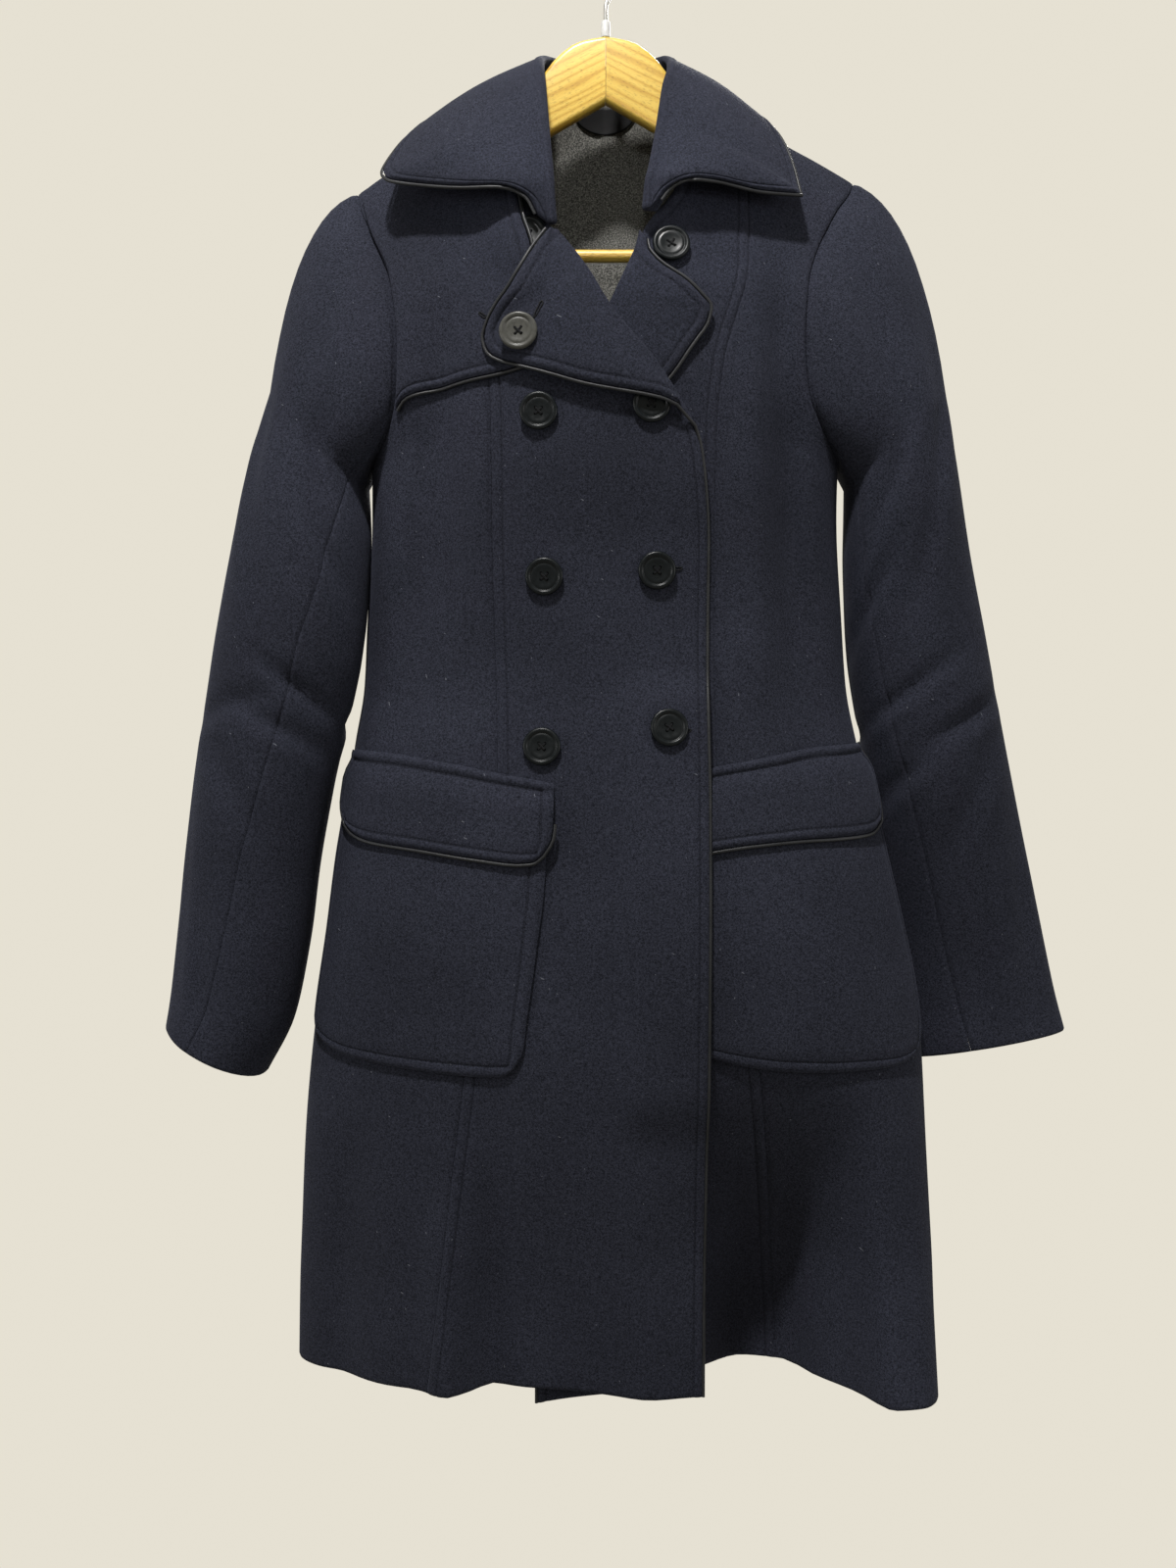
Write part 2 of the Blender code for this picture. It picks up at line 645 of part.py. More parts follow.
Ring = namedtuple("Ring", "out_x out_y out_z in_x in_y in_z deep")
SLEEVES = {
    "right": [
        Ring(-252, 0, -334, -183, 0, -407, 50),
        Ring(-266, -5, -392, -183, -10, -450, 50),
        Ring(-279, -8, -455, -183.5, -22, -494, 48),
        Ring(-290, -10, -515, -186, -25, -538, 47),
        Ring(-299, -12, -570, -193, -26, -584, 46),
        Ring(-307, -12, -622, -204, -26, -632, 46),
        Ring(-313.5, -12, -680, -214, -26, -688, 45),
        Ring(-319, -12, -738, -221.5, -26, -748, 44),
        Ring(-323.5, -12, -780, -233, -26, -802, 42),
        Ring(-326, -12, -808, -255, -28, -846, 41),
    ],
    "left": [
        Ring(257, 0, -334, 182, 0, -406, 48),
        Ring(268, 5, -392, 182, 4, -448, 48),
        Ring(279, 8, -455, 183.5, 12, -492, 47),
        Ring(291, 10, -515, 187, 16, -538, 46),
        Ring(301.5, 12, -570, 195, 20, -586, 46),
        Ring(312, 14, -622, 204, 24, -636, 44),
        Ring(324, 16, -680, 214, 28, -692, 40),
        Ring(336, 16, -738, 223, 30, -750, 35),
        Ring(346, 16, -786, 231, 30, -802, 30),
        Ring(354, 14, -819, 237, 28, -842, 27),
    ],
}
CAP_ROWS = 5
CAP_PUFF = (16, 63)  # how far the cap's top stands out and up from a straight line
CAP_DEPTH = 11
UNDERARM_EASE = 1.6  # the sleeve starts this far outside the armhole's lowest point
BACK_SLEEVE_SEAM = 0.80  # share of the way round, from the top over the front
# The front sleeve seam's share of the way round, down the sleeve's rings.
FRONT_SLEEVE_SEAM = {
    "right": [0.42, 0.41, 0.38, 0.35, 0.32, 0.305, 0.29, 0.27, 0.25, 0.235, 0.228],
    "left": [0.43, 0.42, 0.40, 0.38, 0.36, 0.35, 0.335, 0.32, 0.31, 0.30, 0.29],
}


def armhole_point(side, turn):
    """On the armhole; turn runs 0 at the shoulder, 0.25 in front, 0.5 underarm, 0.75 behind."""
    in_front = turn <= 0.5
    share = 2 * turn if in_front else 2 - 2 * turn
    low = row_height(TIP_Z[side], UPPER_ROWS.index(UNDERARM_ROW))
    z = lerp(TIP_Z[side], low, (1 - math.cos(math.pi * share)) / 2)
    if share > 0.999:
        return body(SIGN[side], z)
    if in_front:
        x = SEAM_TABLES["armhole_front"][side].read("x", z)
    else:
        x = ARMHOLE_BACK_TABLE.read("x", z)
    a = girth(SIGN[side] * x, z)
    if not in_front:
        a = 2 - a if side == "left" else -2 - a
    return body(a, z)


def ring_point(ring, turn, side):
    out = np.array([ring.out_x, ring.out_y, ring.out_z], float)
    inside = np.array([ring.in_x, ring.in_y, ring.in_z], float)
    long = (out - inside) / 2
    front = np.cross(long, [0, 0, 1]) * SIGN[side]
    front *= ring.deep / np.linalg.norm(front)
    angle = 2 * math.pi * turn
    return (out + inside) / 2 + long * math.cos(angle) + front * math.sin(angle)


def sleeve_point(side, turn, down):
    """down runs 0 at the armhole, 1 at the first ring, and 1 more for each ring below."""
    turn %= 1
    rings = SLEEVES[side]
    if down >= 1:
        knots = list(range(1, len(rings) + 1))
        read = [through(knots, [row[k] for row in rings], down) for k in range(len(Ring._fields))]
        return ring_point(Ring(*read), turn, side)
    start = armhole_point(side, turn)
    start[0] += SIGN[side] * UNDERARM_EASE * ((1 - math.cos(2 * math.pi * turn)) / 2) ** 2
    end = ring_point(rings[0], turn, side)
    top = ((1 + math.cos(2 * math.pi * turn)) / 2) ** 2
    bend = np.array([SIGN[side] * CAP_PUFF[0] * top, 0, CAP_PUFF[1] * top])
    bend[1] = -CAP_DEPTH * math.sin(2 * math.pi * turn)
    control = (start + end) / 2 + bend
    s = down
    return start * (1 - s) ** 2 + control * 2 * s * (1 - s) + end * s**2


def sleeve_wall(side, turn, down):
    most = len(SLEEVES[side])
    low, high = max(down - 0.05, 0.0), min(down + 0.05, most)
    along = sleeve_point(side, turn, high) - sleeve_point(side, turn, low)
    around = sleeve_point(side, turn + 0.01, down) - sleeve_point(side, turn - 0.01, down)
    normal = np.cross(around, along) * SIGN[side]
    normal /= np.linalg.norm(normal)
    point = sleeve_point(side, turn, down)
    return point, point - normal * CLOTH


def sleeve_panel(name, side, upper, columns, surface):
    downs = [0.02 + 0.98 * i / CAP_ROWS for i in range(CAP_ROWS)]
    downs += list(range(1, len(SLEEVES[side]) + 1))
    seam = FRONT_SLEEVE_SEAM[side]

    def place(u, down):
        front = through(list(range(len(seam))), seam, down)
        start, end = (BACK_SLEEVE_SEAM - 1, front) if upper else (front, BACK_SLEEVE_SEAM)
        gap = 0.0007
        return sleeve_wall(side, lerp(start + gap, end - gap, u), down)

    return cloth(name, even(columns), downs, place, surface)


# ---------------------------------------------------------------- collar

COLLAR_SET = 2.4  # the stand starts this far from the middle of the neck edge
COLLAR_ROLL = 2.8  # radius of the fold, at the middle of the cloth
STAND_SHARE = 0.28  # where the fold's roll begins
FALL_SHARE = 0.42  # and ends
# From the right front end round the back to the left front end: neck seam, fold and outer edge.
Station = namedtuple("Station", "seam fold edge arch")
COLLAR = [
    Station((-41, -61.4, -228), (-38.5, -71, -229), (-48.5, -72.5, -225), 0.2),
    Station((-47, -59.6, -215), (-39, -70.5, -216), (-57, -72.5, -211), 0.8),
    Station((-51.5, -57.2, -203), (-39.5, -69.5, -203), (-74, -71.5, -204.5), 3),
    Station((-55, -53, -190), (-40.5, -66.5, -188), (-104, -65, -203), 6),
    Station((-58.3, -47.3, -174), (-42, -61, -170), (-134, -56, -198), 8),
    Station((-60.3, -40.3, -155.4), (-43.5, -54, -152), (-158, -49, -191.5), 10),
    Station((-61.3, -33, -139.5), (-45, -46, -134), (-162, -42, -183), 11),
    Station((-61.1, -23, -121.6), (-46.5, -34, -113), (-155.5, -30, -163), 12),
    Station((-60, -11.5, -106), (-48.5, -18, -93), (-147, -14, -143), 12),
    Station((-60, 0, -98.2), (-49.5, 0, -78), (-136, 6, -126), 12),
    Station((-54, 13.2, -96), (-46, 22, -66), (-122, 30, -122), 12),
    Station((-43.2, 28.8, -93), (-38, 38, -61), (-98, 50, -125), 11),
    Station((-23.6, 39.3, -91), (-21, 51, -59.5), (-55, 66, -130), 9),
    Station((0, 44.3, -90.2), (0, 55, -59), (0, 70, -132), 8),
    Station((23.6, 39.3, -91), (21, 51, -59.5), (50, 66, -130), 9),
    Station((43.2, 28.8, -93), (38, 38, -61), (84, 50, -125), 10),
    Station((54, 13.2, -96), (46, 22, -66), (102, 30, -121), 11),
    Station((60, 0, -98.2), (49.5, 0, -79), (113, 8, -121), 11),
    Station((60, -11.5, -106), (48, -18, -93), (121, -8, -131), 11),
    Station((61.2, -23, -121.6), (43.5, -34, -113), (130, -22, -151), 12),
    Station((61.4, -33, -139.5), (40.5, -46, -134), (136, -34, -176), 12),
    Station((60.4, -40.2, -155.4), (38, -54, -152), (140, -46, -202), 11),
    Station((57.9, -47.5, -174.3), (35, -61, -170), (112, -56, -203), 9),
    Station((52.5, -54, -190), (31.5, -66.5, -188), (78, -65, -198.5), 6),
    Station((48.5, -56.4, -199), (29, -69.5, -199), (59, -71, -199), 3),
    Station((43, -57.4, -208), (28, -69.5, -209), (45, -72, -204), 1),
    Station((37, -58.3, -217), (27.3, -69.5, -219), (36.5, -72, -214), 0.2),
]


def collar_line(s, share):
    """A point of the collar's middle surface; share runs 0 at the seam to 1 at the edge."""
    knots = list(range(len(COLLAR)))

    def read(column):
        return np.array([
            through(knots, [getattr(row, column)[k] for row in COLLAR], s) for k in range(3)
        ])

    seam, fold, edge = read("seam"), read("fold"), read("edge")
    up = (fold - seam) / np.linalg.norm(fold - seam)
    seam += up * COLLAR_SET
    out = edge - fold
    for along in (up, collar_run(s)):
        out -= along * out.dot(along) / along.dot(along)
    out /= np.linalg.norm(out)
    centre = fold - up * COLLAR_ROLL
    if share <= STAND_SHARE:
        return lerp(seam, centre - out * COLLAR_ROLL, share / STAND_SHARE)
    if share < FALL_SHARE:
        angle = math.pi * (share - STAND_SHARE) / (FALL_SHARE - STAND_SHARE)
        return centre + COLLAR_ROLL * (up * math.sin(angle) - out * math.cos(angle))
    t = (share - FALL_SHARE) / (1 - FALL_SHARE)
    start = centre + out * COLLAR_ROLL
    face = np.cross(collar_run(s), edge - start)
    arch = through(knots, [row.arch for row in COLLAR], s) / np.linalg.norm(face)
    return lerp(start, edge, t) + face * arch * math.sin(math.pi * t)


def collar_run(s):
    """The direction of the fold, towards the left front end."""
    knots = list(range(len(COLLAR)))
    low, high = max(s - 0.5, 0), min(s + 0.5, len(COLLAR) - 1)
    folds = [
        np.array([through(knots, [row.fold[k] for row in COLLAR], at) for k in range(3)])
        for at in (low, high)
    ]
    return folds[1] - folds[0]


def collar_wall(share, s):
    low, high = max(s - 0.1, 0), min(s + 0.1, len(COLLAR) - 1)
    along = collar_line(high, share) - collar_line(low, share)
    reach = 0.03 if share <= FALL_SHARE else 0.1
    less, more = max(share - reach, 0), min(share + reach, 1)
    down = collar_line(s, more) - collar_line(s, less)
    normal = np.cross(along, down)
    normal /= np.linalg.norm(normal)
    point = collar_line(s, share)
    return point + normal * DOUBLE_CLOTH / 2, point - normal * DOUBLE_CLOTH / 2


def collar(surface, edging):
    shares = [0, 0.14, STAND_SHARE, 0.35, FALL_SHARE, 0.56, 0.76, 1]
    grid = cloth("collar", shares, list(range(len(COLLAR))), collar_wall, surface)
    edge = len(shares) - 1
    path = [(edge, j) for j in range(1, len(COLLAR) - 2)]
    tube("piping_collar", beside(grid, path), PIPING, 6, edging)


# ---------------------------------------------------------------- buttons

# off is the thread shank: how far the button stands off what it is sewn to.
Button = namedtuple("Button", "name side x z carrier off")
BUTTONS = [
    Button("button_right_lapel", "right", -61.5, -312.4, "lapel", 1.5),
    Button("button_left_collar", "left", 46.2, -242.6, "front", 2.4),
    Button("button_right_collar", "right", -56, -236.5, "front", 2.6),
    Button("button_right_1", "right", -47.9, -366, "front", 1.0),
    Button("button_left_1", "right", 31.2, -361, "front", 1.0),
    Button("button_right_2", "right", -44.4, -481.5, "front", 1.0),
    Button("button_left_2", "right", 35.4, -477.3, "front", 1.0),
    Button("button_right_3", "right", -45.8, -604.2, "front", 1.0),
    Button("button_left_3", "right", 42.4, -592.3, "front", 0.8),
]
LAPEL_AT_BUTTON = 8.4  # height of the lapel's face above the right front, at its button
# Radius and height of the turned profile, from the back's middle to the face's middle.
Turned = namedtuple("Turned", "radius height")
BUTTON_PROFILE = [
    Turned(11.6, 0), Turned(BUTTON, 1.1), Turned(BUTTON, 2.3), Turned(12.4, BUTTON_THICK),
    Turned(10.6, BUTTON_THICK), Turned(9.6, 2.3),
]


def turned(bm, profile, sides, matrix):
    """A closed turned solid about Z, placed by the matrix."""
    rings = []
    for row in profile:
        ring = []
        for j in range(sides):
            angle = 2 * math.pi * j / sides
            spot = [row.radius * math.cos(angle), row.radius * math.sin(angle), row.height, 1]
            ring.append(bm.verts.new((matrix @ np.array(spot))[:3] * MM))
        rings.append(ring)
    for before, after in zip(rings, rings[1:]):
        for j in range(sides):
            k = (j + 1) % sides
            bm.faces.new((before[j], before[k], after[k], after[j]))
    bm.faces.new(rings[0][::-1])
    bm.faces.new(rings[-1])


def standing(point, up):
    """The matrix that puts the origin at the point and Z along up."""
    up = up / np.linalg.norm(up)
    side = np.cross([0, 0, 1.0], up)
    if np.linalg.norm(side) < 1e-6:
        side = np.array([1.0, 0, 0])
    side /= np.linalg.norm(side)
    matrix = np.eye(4)
    matrix[:3, 0] = side
    matrix[:3, 1] = np.cross(up, side)
    matrix[:3, 2] = up
    matrix[:3, 3] = point
    return matrix


def button(row, surface):
    a = girth(row.x, row.z)
    lift = right_front_lift(row.x, row.z) if row.side == "right" else 0
    if row.carrier == "lapel":
        lift += LAPEL_AT_BUTTON
    normal = outward(a, row.z, row.side)
    point = body(a, row.z, row.side) + normal * (lift + row.off)
    bm = bmesh.new()
    turned(bm, BUTTON_PROFILE, 14, standing(point, normal))
    return add_object(row.name, bm, surface)


# ---------------------------------------------------------------- hanger

HANGER_THICK = 12
HANGER_UNDER_SHOULDER = 8.5
HANGER_END = 178
ARM_TOP = [(0, -62), (20, -66), (38, -79), (50, -95), (60, -106)]
ARM_NOTCH = [(0, -112), (43, -137)]
ARM_DEPTH = 50
BAR_END = 152
BAR_Z = -228
BAR_RADIUS = 4.8
WIRE = 1.7
CROWN_RADIUS = 14.5
FERRULE = (3.5, -62, -49)  # radius, bottom and top


def arm_outline():
    """The arm's front outline from the mitre outwards and back, as (distance out, z)."""
    top = [np.array(point, float) for point in resample(ARM_TOP[:-1], 7)]
    outs = [NECK_X + (HANGER_END - NECK_X) * i / 7 for i in range(8)]
    top += [np.array([x, SHOULDER_TABLE.read("right", x) - HANGER_UNDER_SHOULDER]) for x in outs]
    low = [np.array([HANGER_END - 3, BAR_Z - 9]), np.array([BAR_END, BAR_Z - 9])]
    low += [np.array([x, SHOULDER_TABLE.read("right", x) - ARM_DEPTH]) for x in (BAR_END, 120, 85)]
    return top + low + [np.array(ARM_NOTCH[1], float), np.array(ARM_NOTCH[0], float)]


def hanger_arm(name, side, surface):
    bm = bmesh.new()
    outline = arm_outline()
    for y in (-HANGER_THICK / 2, HANGER_THICK / 2):
        for out, z in outline:
            bm.verts.new(np.array([SIGN[side] * (out + SEAM / 2), y, z]) * MM)
    bm.verts.ensure_lookup_table()
    count = len(outline)
    bm.faces.new(bm.verts[:count])
    bm.faces.new(bm.verts[count:][::-1])
    for i in range(count):
        j = (i + 1) % count
        bm.faces.new((bm.verts[j], bm.verts[i], bm.verts[count + i], bm.verts[count + j]))
    bmesh.ops.recalc_face_normals(bm, faces=bm.faces)
    rounded = [
        edge
        for edge in bm.edges
        if abs(edge.verts[0].co.y - edge.verts[1].co.y) < 1e-6
        and max(abs(v.co.x) for v in edge.verts) > 2 * MM
    ]
    bmesh.ops.bevel(
        bm, geom=rounded, offset=4 * MM, segments=2, profile=0.5, affect="EDGES", clamp_overlap=True
    )
    return add_object(name, bm, surface)


def hanger_hook(surface):
    """The wire stands in the ferrule, bends out and goes over in an open circle."""
    centre = -(CROWN_RADIUS - WIRE)
    points = []
    for i in range(21):
        angle = math.radians(205 - 250 * i / 20)
        points.append((CROWN_RADIUS * math.cos(angle), 0, centre + CROWN_RADIUS * math.sin(angle)))
    points += [
        (6.5, 0, -27.5), (2.2, 0, -32), (0.3, 0, -37), (0, 0, -42), (0, 0, FERRULE[2] + SEAM),
    ]
    return tube("hanger_hook", points, WIRE, 8, surface)


def hanger_bar(surface):
    """The trouser bar butts against the arms' inner sides."""
    bm = bmesh.new()
    reach = BAR_END - SEAM
    along_x = np.array([[0, 0, 1, -reach], [0, 1, 0, 0], [-1, 0, 0, BAR_Z], [0, 0, 0, 1.0]])
    turned(bm, [Turned(BAR_RADIUS, 0), Turned(BAR_RADIUS, 2 * reach)], 16, along_x)
    return add_object("hanger_bar", bm, surface)


LABEL_HALF = 26
LABEL_TOP = -95
LABEL_DEEP = 20
LABEL_CLOTH = 1.0


def neck_label(surface):
    """A bare half-moon patch on the inside of the back, under the neck seam."""

    def place(u, v):
        x = lerp(-LABEL_HALF, LABEL_HALF, u)
        low = LABEL_TOP - LABEL_DEEP * math.sqrt(max(1.08 - (x / LABEL_HALF) ** 2, 0))
        z = lerp(LABEL_TOP, low, v)
        return wall(2 - girth(x, z), z, "left", -CLOTH - LAID, LABEL_CLOTH)

    return cloth("neck_label", even(8), even(3), place, surface)


def front_piping(name, side, lapel_grid, front_grid, first_row, surface):
    """Piping down a lapel's outer edge, over the front's edge at the break and down it."""
    last = max(i for i, j in lapel_grid)
    points = beside(lapel_grid, [(last, j) for j in range(1, len(LAPEL_ROWS))])
    last = max(i for i, j in front_grid)
    down = beside(front_grid, [(last, j) for j in range(first_row, len(ALL_ROWS))])
    outer, inner = front_grid[last, first_row]
    rise = (outer - inner) / CLOTH
    step = (points[-1] - down[0]) * 0.45
    over = down[0] + np.array([0, 0, step[2]]) + rise * (CLOTH / 2 + PIPING + LAID)
    over[0] = SEAM_TABLES["edge"][side].read("x", over[2]) - SIGN[side] * (PIPING + LAID)
    tube(name, points + [over] + down, PIPING, 6, surface)


def clear_scene():
    for each in list(bpy.data.objects):
        bpy.data.objects.remove(each, do_unlink=True)


def build():
    clear_scene()
    navy = material("navy_melton", (0.018, 0.020, 0.034), 0.95)
    leather = material("black_leather", (0.03, 0.03, 0.032), 0.35)
    plastic = material("dark_plastic", (0.017, 0.021, 0.025), 0.4)
    wood = material("pale_wood", (0.72, 0.44, 0.14), 0.5)
    steel = material("bright_steel", (0.8, 0.8, 0.8), 0.3, 1.0)
    white = material("white_plastic", (0.85, 0.85, 0.83), 0.4)
    black = material("black_satin", (0.01, 0.01, 0.011), 0.7)

    fronts = {}
    for side in ("right", "left"):
        fronts[side] = front_panel(
            f"{side}_front_centre", side, ("princess", "edge"), (PRINCESS_X, NECK_X), 9, navy
        )
        front_panel(
            f"{side}_front_side", side, ("side", "princess"), (TIP_X, PRINCESS_X), 6, navy
        )
        back_panel(f"back_{side}", side, 10, navy)
        sleeve_panel(f"{side}_sleeve_top", side, True, 13, navy)
        sleeve_panel(f"{side}_sleeve_under", side, False, 8, navy)
        hanger_arm(f"hanger_arm_{side}", side, wood)

    grid = lapel(
        "right_lapel", "right", RIGHT_LAPEL_ROLL, RIGHT_LAPEL_TOP_EDGE, RIGHT_LAPEL_LOW_EDGE,
        RIGHT_LAPEL_LIFT, right_front_lift, LAPEL_ROWS, navy,
    )
    front_piping("piping_right_front", "right", grid, fronts["right"], 11, leather)
    grid = lapel(
        "left_lapel", "left", LEFT_LAPEL_ROLL, LEFT_LAPEL_TOP_EDGE, LEFT_LAPEL_LOW_EDGE,
        LEFT_LAPEL_LIFT, lambda x, z: 0, LAPEL_ROWS, navy,
    )
    front_piping("piping_left_front", "left", grid, fronts["left"], 12, leather)
    grid = laid_piece(
        "storm_flap", "right",
        [STORM_FLAP[key] for key in ("armhole", "front", "shoulder", "hem")],
        lambda u, v, x, z: storm_flap_lift(x, z), PATCH_CLOTH, even(9), STORM_FLAP_ROWS, navy,
    )
    path = [(9, j) for j in range(5, 12)] + [(i, 11) for i in range(8, -1, -1)]
    tube("piping_storm_flap", beside(grid, path), PIPING, 6, leather)
    laid_piece(
        "right_pocket", "right", [RIGHT_POCKET[key] for key in ("side", "front", "top", "hem")],
        lambda u, v, x, z: pocket_lift(u, v) + right_front_lift(x, z),
        PATCH_CLOTH, even(9), even(9), navy,
    )
    laid_piece(
        "left_pocket", "left", [LEFT_POCKET[key] for key in ("front", "side", "top", "hem")],
        lambda u, v, x, z: pocket_lift(u, v), PATCH_CLOTH, even(9), even(9), navy,
    )
    grid = laid_piece(
        "right_pocket_flap", "right",
        [RIGHT_FLAP[key] for key in ("side", "front", "top", "hem")],
        lambda u, v, x, z: flap_lift(v) + right_front_lift(x, z),
        PATCH_CLOTH, even(10), even(6), navy,
    )
    path = [(0, j) for j in range(1, 6)] + [(i, 6) for i in range(11)] + [(10, 5), (10, 4), (10, 3)]
    tube("piping_right_flap", beside(grid, path), PIPING, 6, leather)
    grid = laid_piece(
        "left_pocket_flap", "left",
        [LEFT_FLAP[key] for key in ("front", "side", "top", "hem")],
        lambda u, v, x, z: flap_lift(v), PATCH_CLOTH, even(10), even(6), navy,
    )
    path = [(i, 6) for i in range(11)] + [(10, 5), (10, 4), (10, 3), (10, 2), (10, 1)]
    tube("piping_left_flap", beside(grid, path), PIPING, 6, leather)
    collar(navy, leather)
    for row in BUTTONS:
        button(row, plastic)
    hanger_hook(steel)
    hanger_bar(wood)
    neck_label(black)
    bm = bmesh.new()
    radius, low, high = FERRULE
    turned(bm, [Turned(radius, low + SEAM), Turned(radius, high)], 14, np.eye(4))
    add_object("hanger_ferrule", bm, white)


build()
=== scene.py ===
# %% [markdown]
# # A long double-breasted wool coat on its hanger
# The frame holds plain solids of every panel, button and hanger part. This lesson dresses them:
# each panel is woven again as a fine sheet on the same curved surface, with folds, stitched
# grooves and rounded edges, and the trims are turned, piped and sewn. Lengths are millimetres
# until a mesh is made.

# %% Load the frame
import json
import math
from bisect import bisect_right
from collections import namedtuple
from functools import lru_cache

import bmesh
import bpy
import numpy as np
from mathutils import Matrix, Vector, noise
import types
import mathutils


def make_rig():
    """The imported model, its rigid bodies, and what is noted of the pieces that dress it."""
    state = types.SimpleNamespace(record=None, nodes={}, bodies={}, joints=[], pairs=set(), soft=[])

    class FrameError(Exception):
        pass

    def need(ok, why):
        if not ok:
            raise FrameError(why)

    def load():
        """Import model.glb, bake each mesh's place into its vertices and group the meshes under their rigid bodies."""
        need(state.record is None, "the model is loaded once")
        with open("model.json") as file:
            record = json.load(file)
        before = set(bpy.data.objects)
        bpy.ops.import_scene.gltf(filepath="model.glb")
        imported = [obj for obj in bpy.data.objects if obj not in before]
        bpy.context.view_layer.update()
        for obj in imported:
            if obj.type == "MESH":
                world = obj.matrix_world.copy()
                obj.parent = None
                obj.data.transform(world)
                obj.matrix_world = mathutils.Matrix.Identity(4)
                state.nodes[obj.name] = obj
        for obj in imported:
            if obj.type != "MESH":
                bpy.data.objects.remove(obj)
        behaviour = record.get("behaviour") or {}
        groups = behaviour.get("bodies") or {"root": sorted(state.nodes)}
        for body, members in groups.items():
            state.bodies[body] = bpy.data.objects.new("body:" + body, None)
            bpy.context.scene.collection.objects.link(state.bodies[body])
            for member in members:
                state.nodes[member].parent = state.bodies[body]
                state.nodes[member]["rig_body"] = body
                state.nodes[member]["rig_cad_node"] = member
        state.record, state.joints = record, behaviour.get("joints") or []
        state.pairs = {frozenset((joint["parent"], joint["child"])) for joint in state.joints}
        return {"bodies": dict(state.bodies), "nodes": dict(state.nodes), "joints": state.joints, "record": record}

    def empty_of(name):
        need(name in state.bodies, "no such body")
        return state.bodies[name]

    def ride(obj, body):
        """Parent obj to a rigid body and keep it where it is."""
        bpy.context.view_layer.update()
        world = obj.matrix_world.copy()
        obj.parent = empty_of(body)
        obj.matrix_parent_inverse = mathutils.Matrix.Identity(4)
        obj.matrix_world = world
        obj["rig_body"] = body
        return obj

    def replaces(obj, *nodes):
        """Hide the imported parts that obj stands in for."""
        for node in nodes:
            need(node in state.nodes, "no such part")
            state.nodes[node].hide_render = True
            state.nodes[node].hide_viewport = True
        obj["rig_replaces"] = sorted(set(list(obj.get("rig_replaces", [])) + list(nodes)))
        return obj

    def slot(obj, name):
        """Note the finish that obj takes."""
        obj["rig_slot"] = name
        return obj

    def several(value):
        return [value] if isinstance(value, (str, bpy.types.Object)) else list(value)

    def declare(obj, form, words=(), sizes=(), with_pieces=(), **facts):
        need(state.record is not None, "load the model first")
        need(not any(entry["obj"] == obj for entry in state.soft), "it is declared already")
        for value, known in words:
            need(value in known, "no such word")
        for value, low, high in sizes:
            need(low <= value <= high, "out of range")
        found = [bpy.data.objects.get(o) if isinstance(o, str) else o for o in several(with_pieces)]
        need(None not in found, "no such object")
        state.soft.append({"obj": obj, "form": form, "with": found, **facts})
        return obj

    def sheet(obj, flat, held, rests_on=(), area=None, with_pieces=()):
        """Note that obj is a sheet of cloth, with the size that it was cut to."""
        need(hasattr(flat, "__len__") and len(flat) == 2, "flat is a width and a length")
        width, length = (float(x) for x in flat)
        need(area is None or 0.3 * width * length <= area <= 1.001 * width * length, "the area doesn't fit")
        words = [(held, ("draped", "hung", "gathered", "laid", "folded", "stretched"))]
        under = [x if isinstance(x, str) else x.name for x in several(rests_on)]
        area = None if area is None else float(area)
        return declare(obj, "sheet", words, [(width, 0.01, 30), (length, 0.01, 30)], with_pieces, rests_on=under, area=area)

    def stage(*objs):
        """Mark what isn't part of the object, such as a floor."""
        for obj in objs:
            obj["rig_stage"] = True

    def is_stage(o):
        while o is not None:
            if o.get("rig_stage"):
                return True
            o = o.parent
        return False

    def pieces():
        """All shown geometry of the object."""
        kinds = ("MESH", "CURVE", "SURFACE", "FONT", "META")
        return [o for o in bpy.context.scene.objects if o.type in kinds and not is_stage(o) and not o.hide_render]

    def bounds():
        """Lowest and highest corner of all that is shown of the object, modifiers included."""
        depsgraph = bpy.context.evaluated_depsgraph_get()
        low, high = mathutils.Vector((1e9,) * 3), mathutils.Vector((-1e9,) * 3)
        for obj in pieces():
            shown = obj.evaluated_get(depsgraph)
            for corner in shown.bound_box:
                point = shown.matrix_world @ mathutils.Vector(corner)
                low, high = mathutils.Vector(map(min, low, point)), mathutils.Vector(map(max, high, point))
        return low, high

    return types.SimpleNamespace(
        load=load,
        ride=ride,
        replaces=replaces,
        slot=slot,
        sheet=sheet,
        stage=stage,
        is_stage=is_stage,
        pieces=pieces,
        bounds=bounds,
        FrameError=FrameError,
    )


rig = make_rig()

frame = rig.load()
cad_low, cad_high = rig.bounds()
print("frame:", len(frame["nodes"]), "nodes,", [round(v, 3) for v in cad_high - cad_low], "m")

# %% [markdown]
# ## The camera
# The coat was looked at straight from the front, from about a metre away, at mid height. The
# camera comes first, because every later look is judged through it. A 33.75 mm lens on a 36 mm
# sensor gives the same spread of view.

# %% Camera
camera_data = bpy.data.cameras.new("camera")
camera_data.lens = 33.75
camera = bpy.data.objects.new("camera", camera_data)
bpy.context.collection.objects.link(camera)
camera.location = (-0.0134, -1.12, -0.63)
camera.rotation_euler = (math.radians(90), 0, 0)
bpy.context.scene.camera = camera

# %% [markdown]
# ## Sizes
# The thickness of each cloth, and the small gaps between pieces, are the numbers that every later
# step shares. They are the same as in the solids, so each new piece lies where its solid does.

# %% Thicknesses and gaps
MM = 0.001

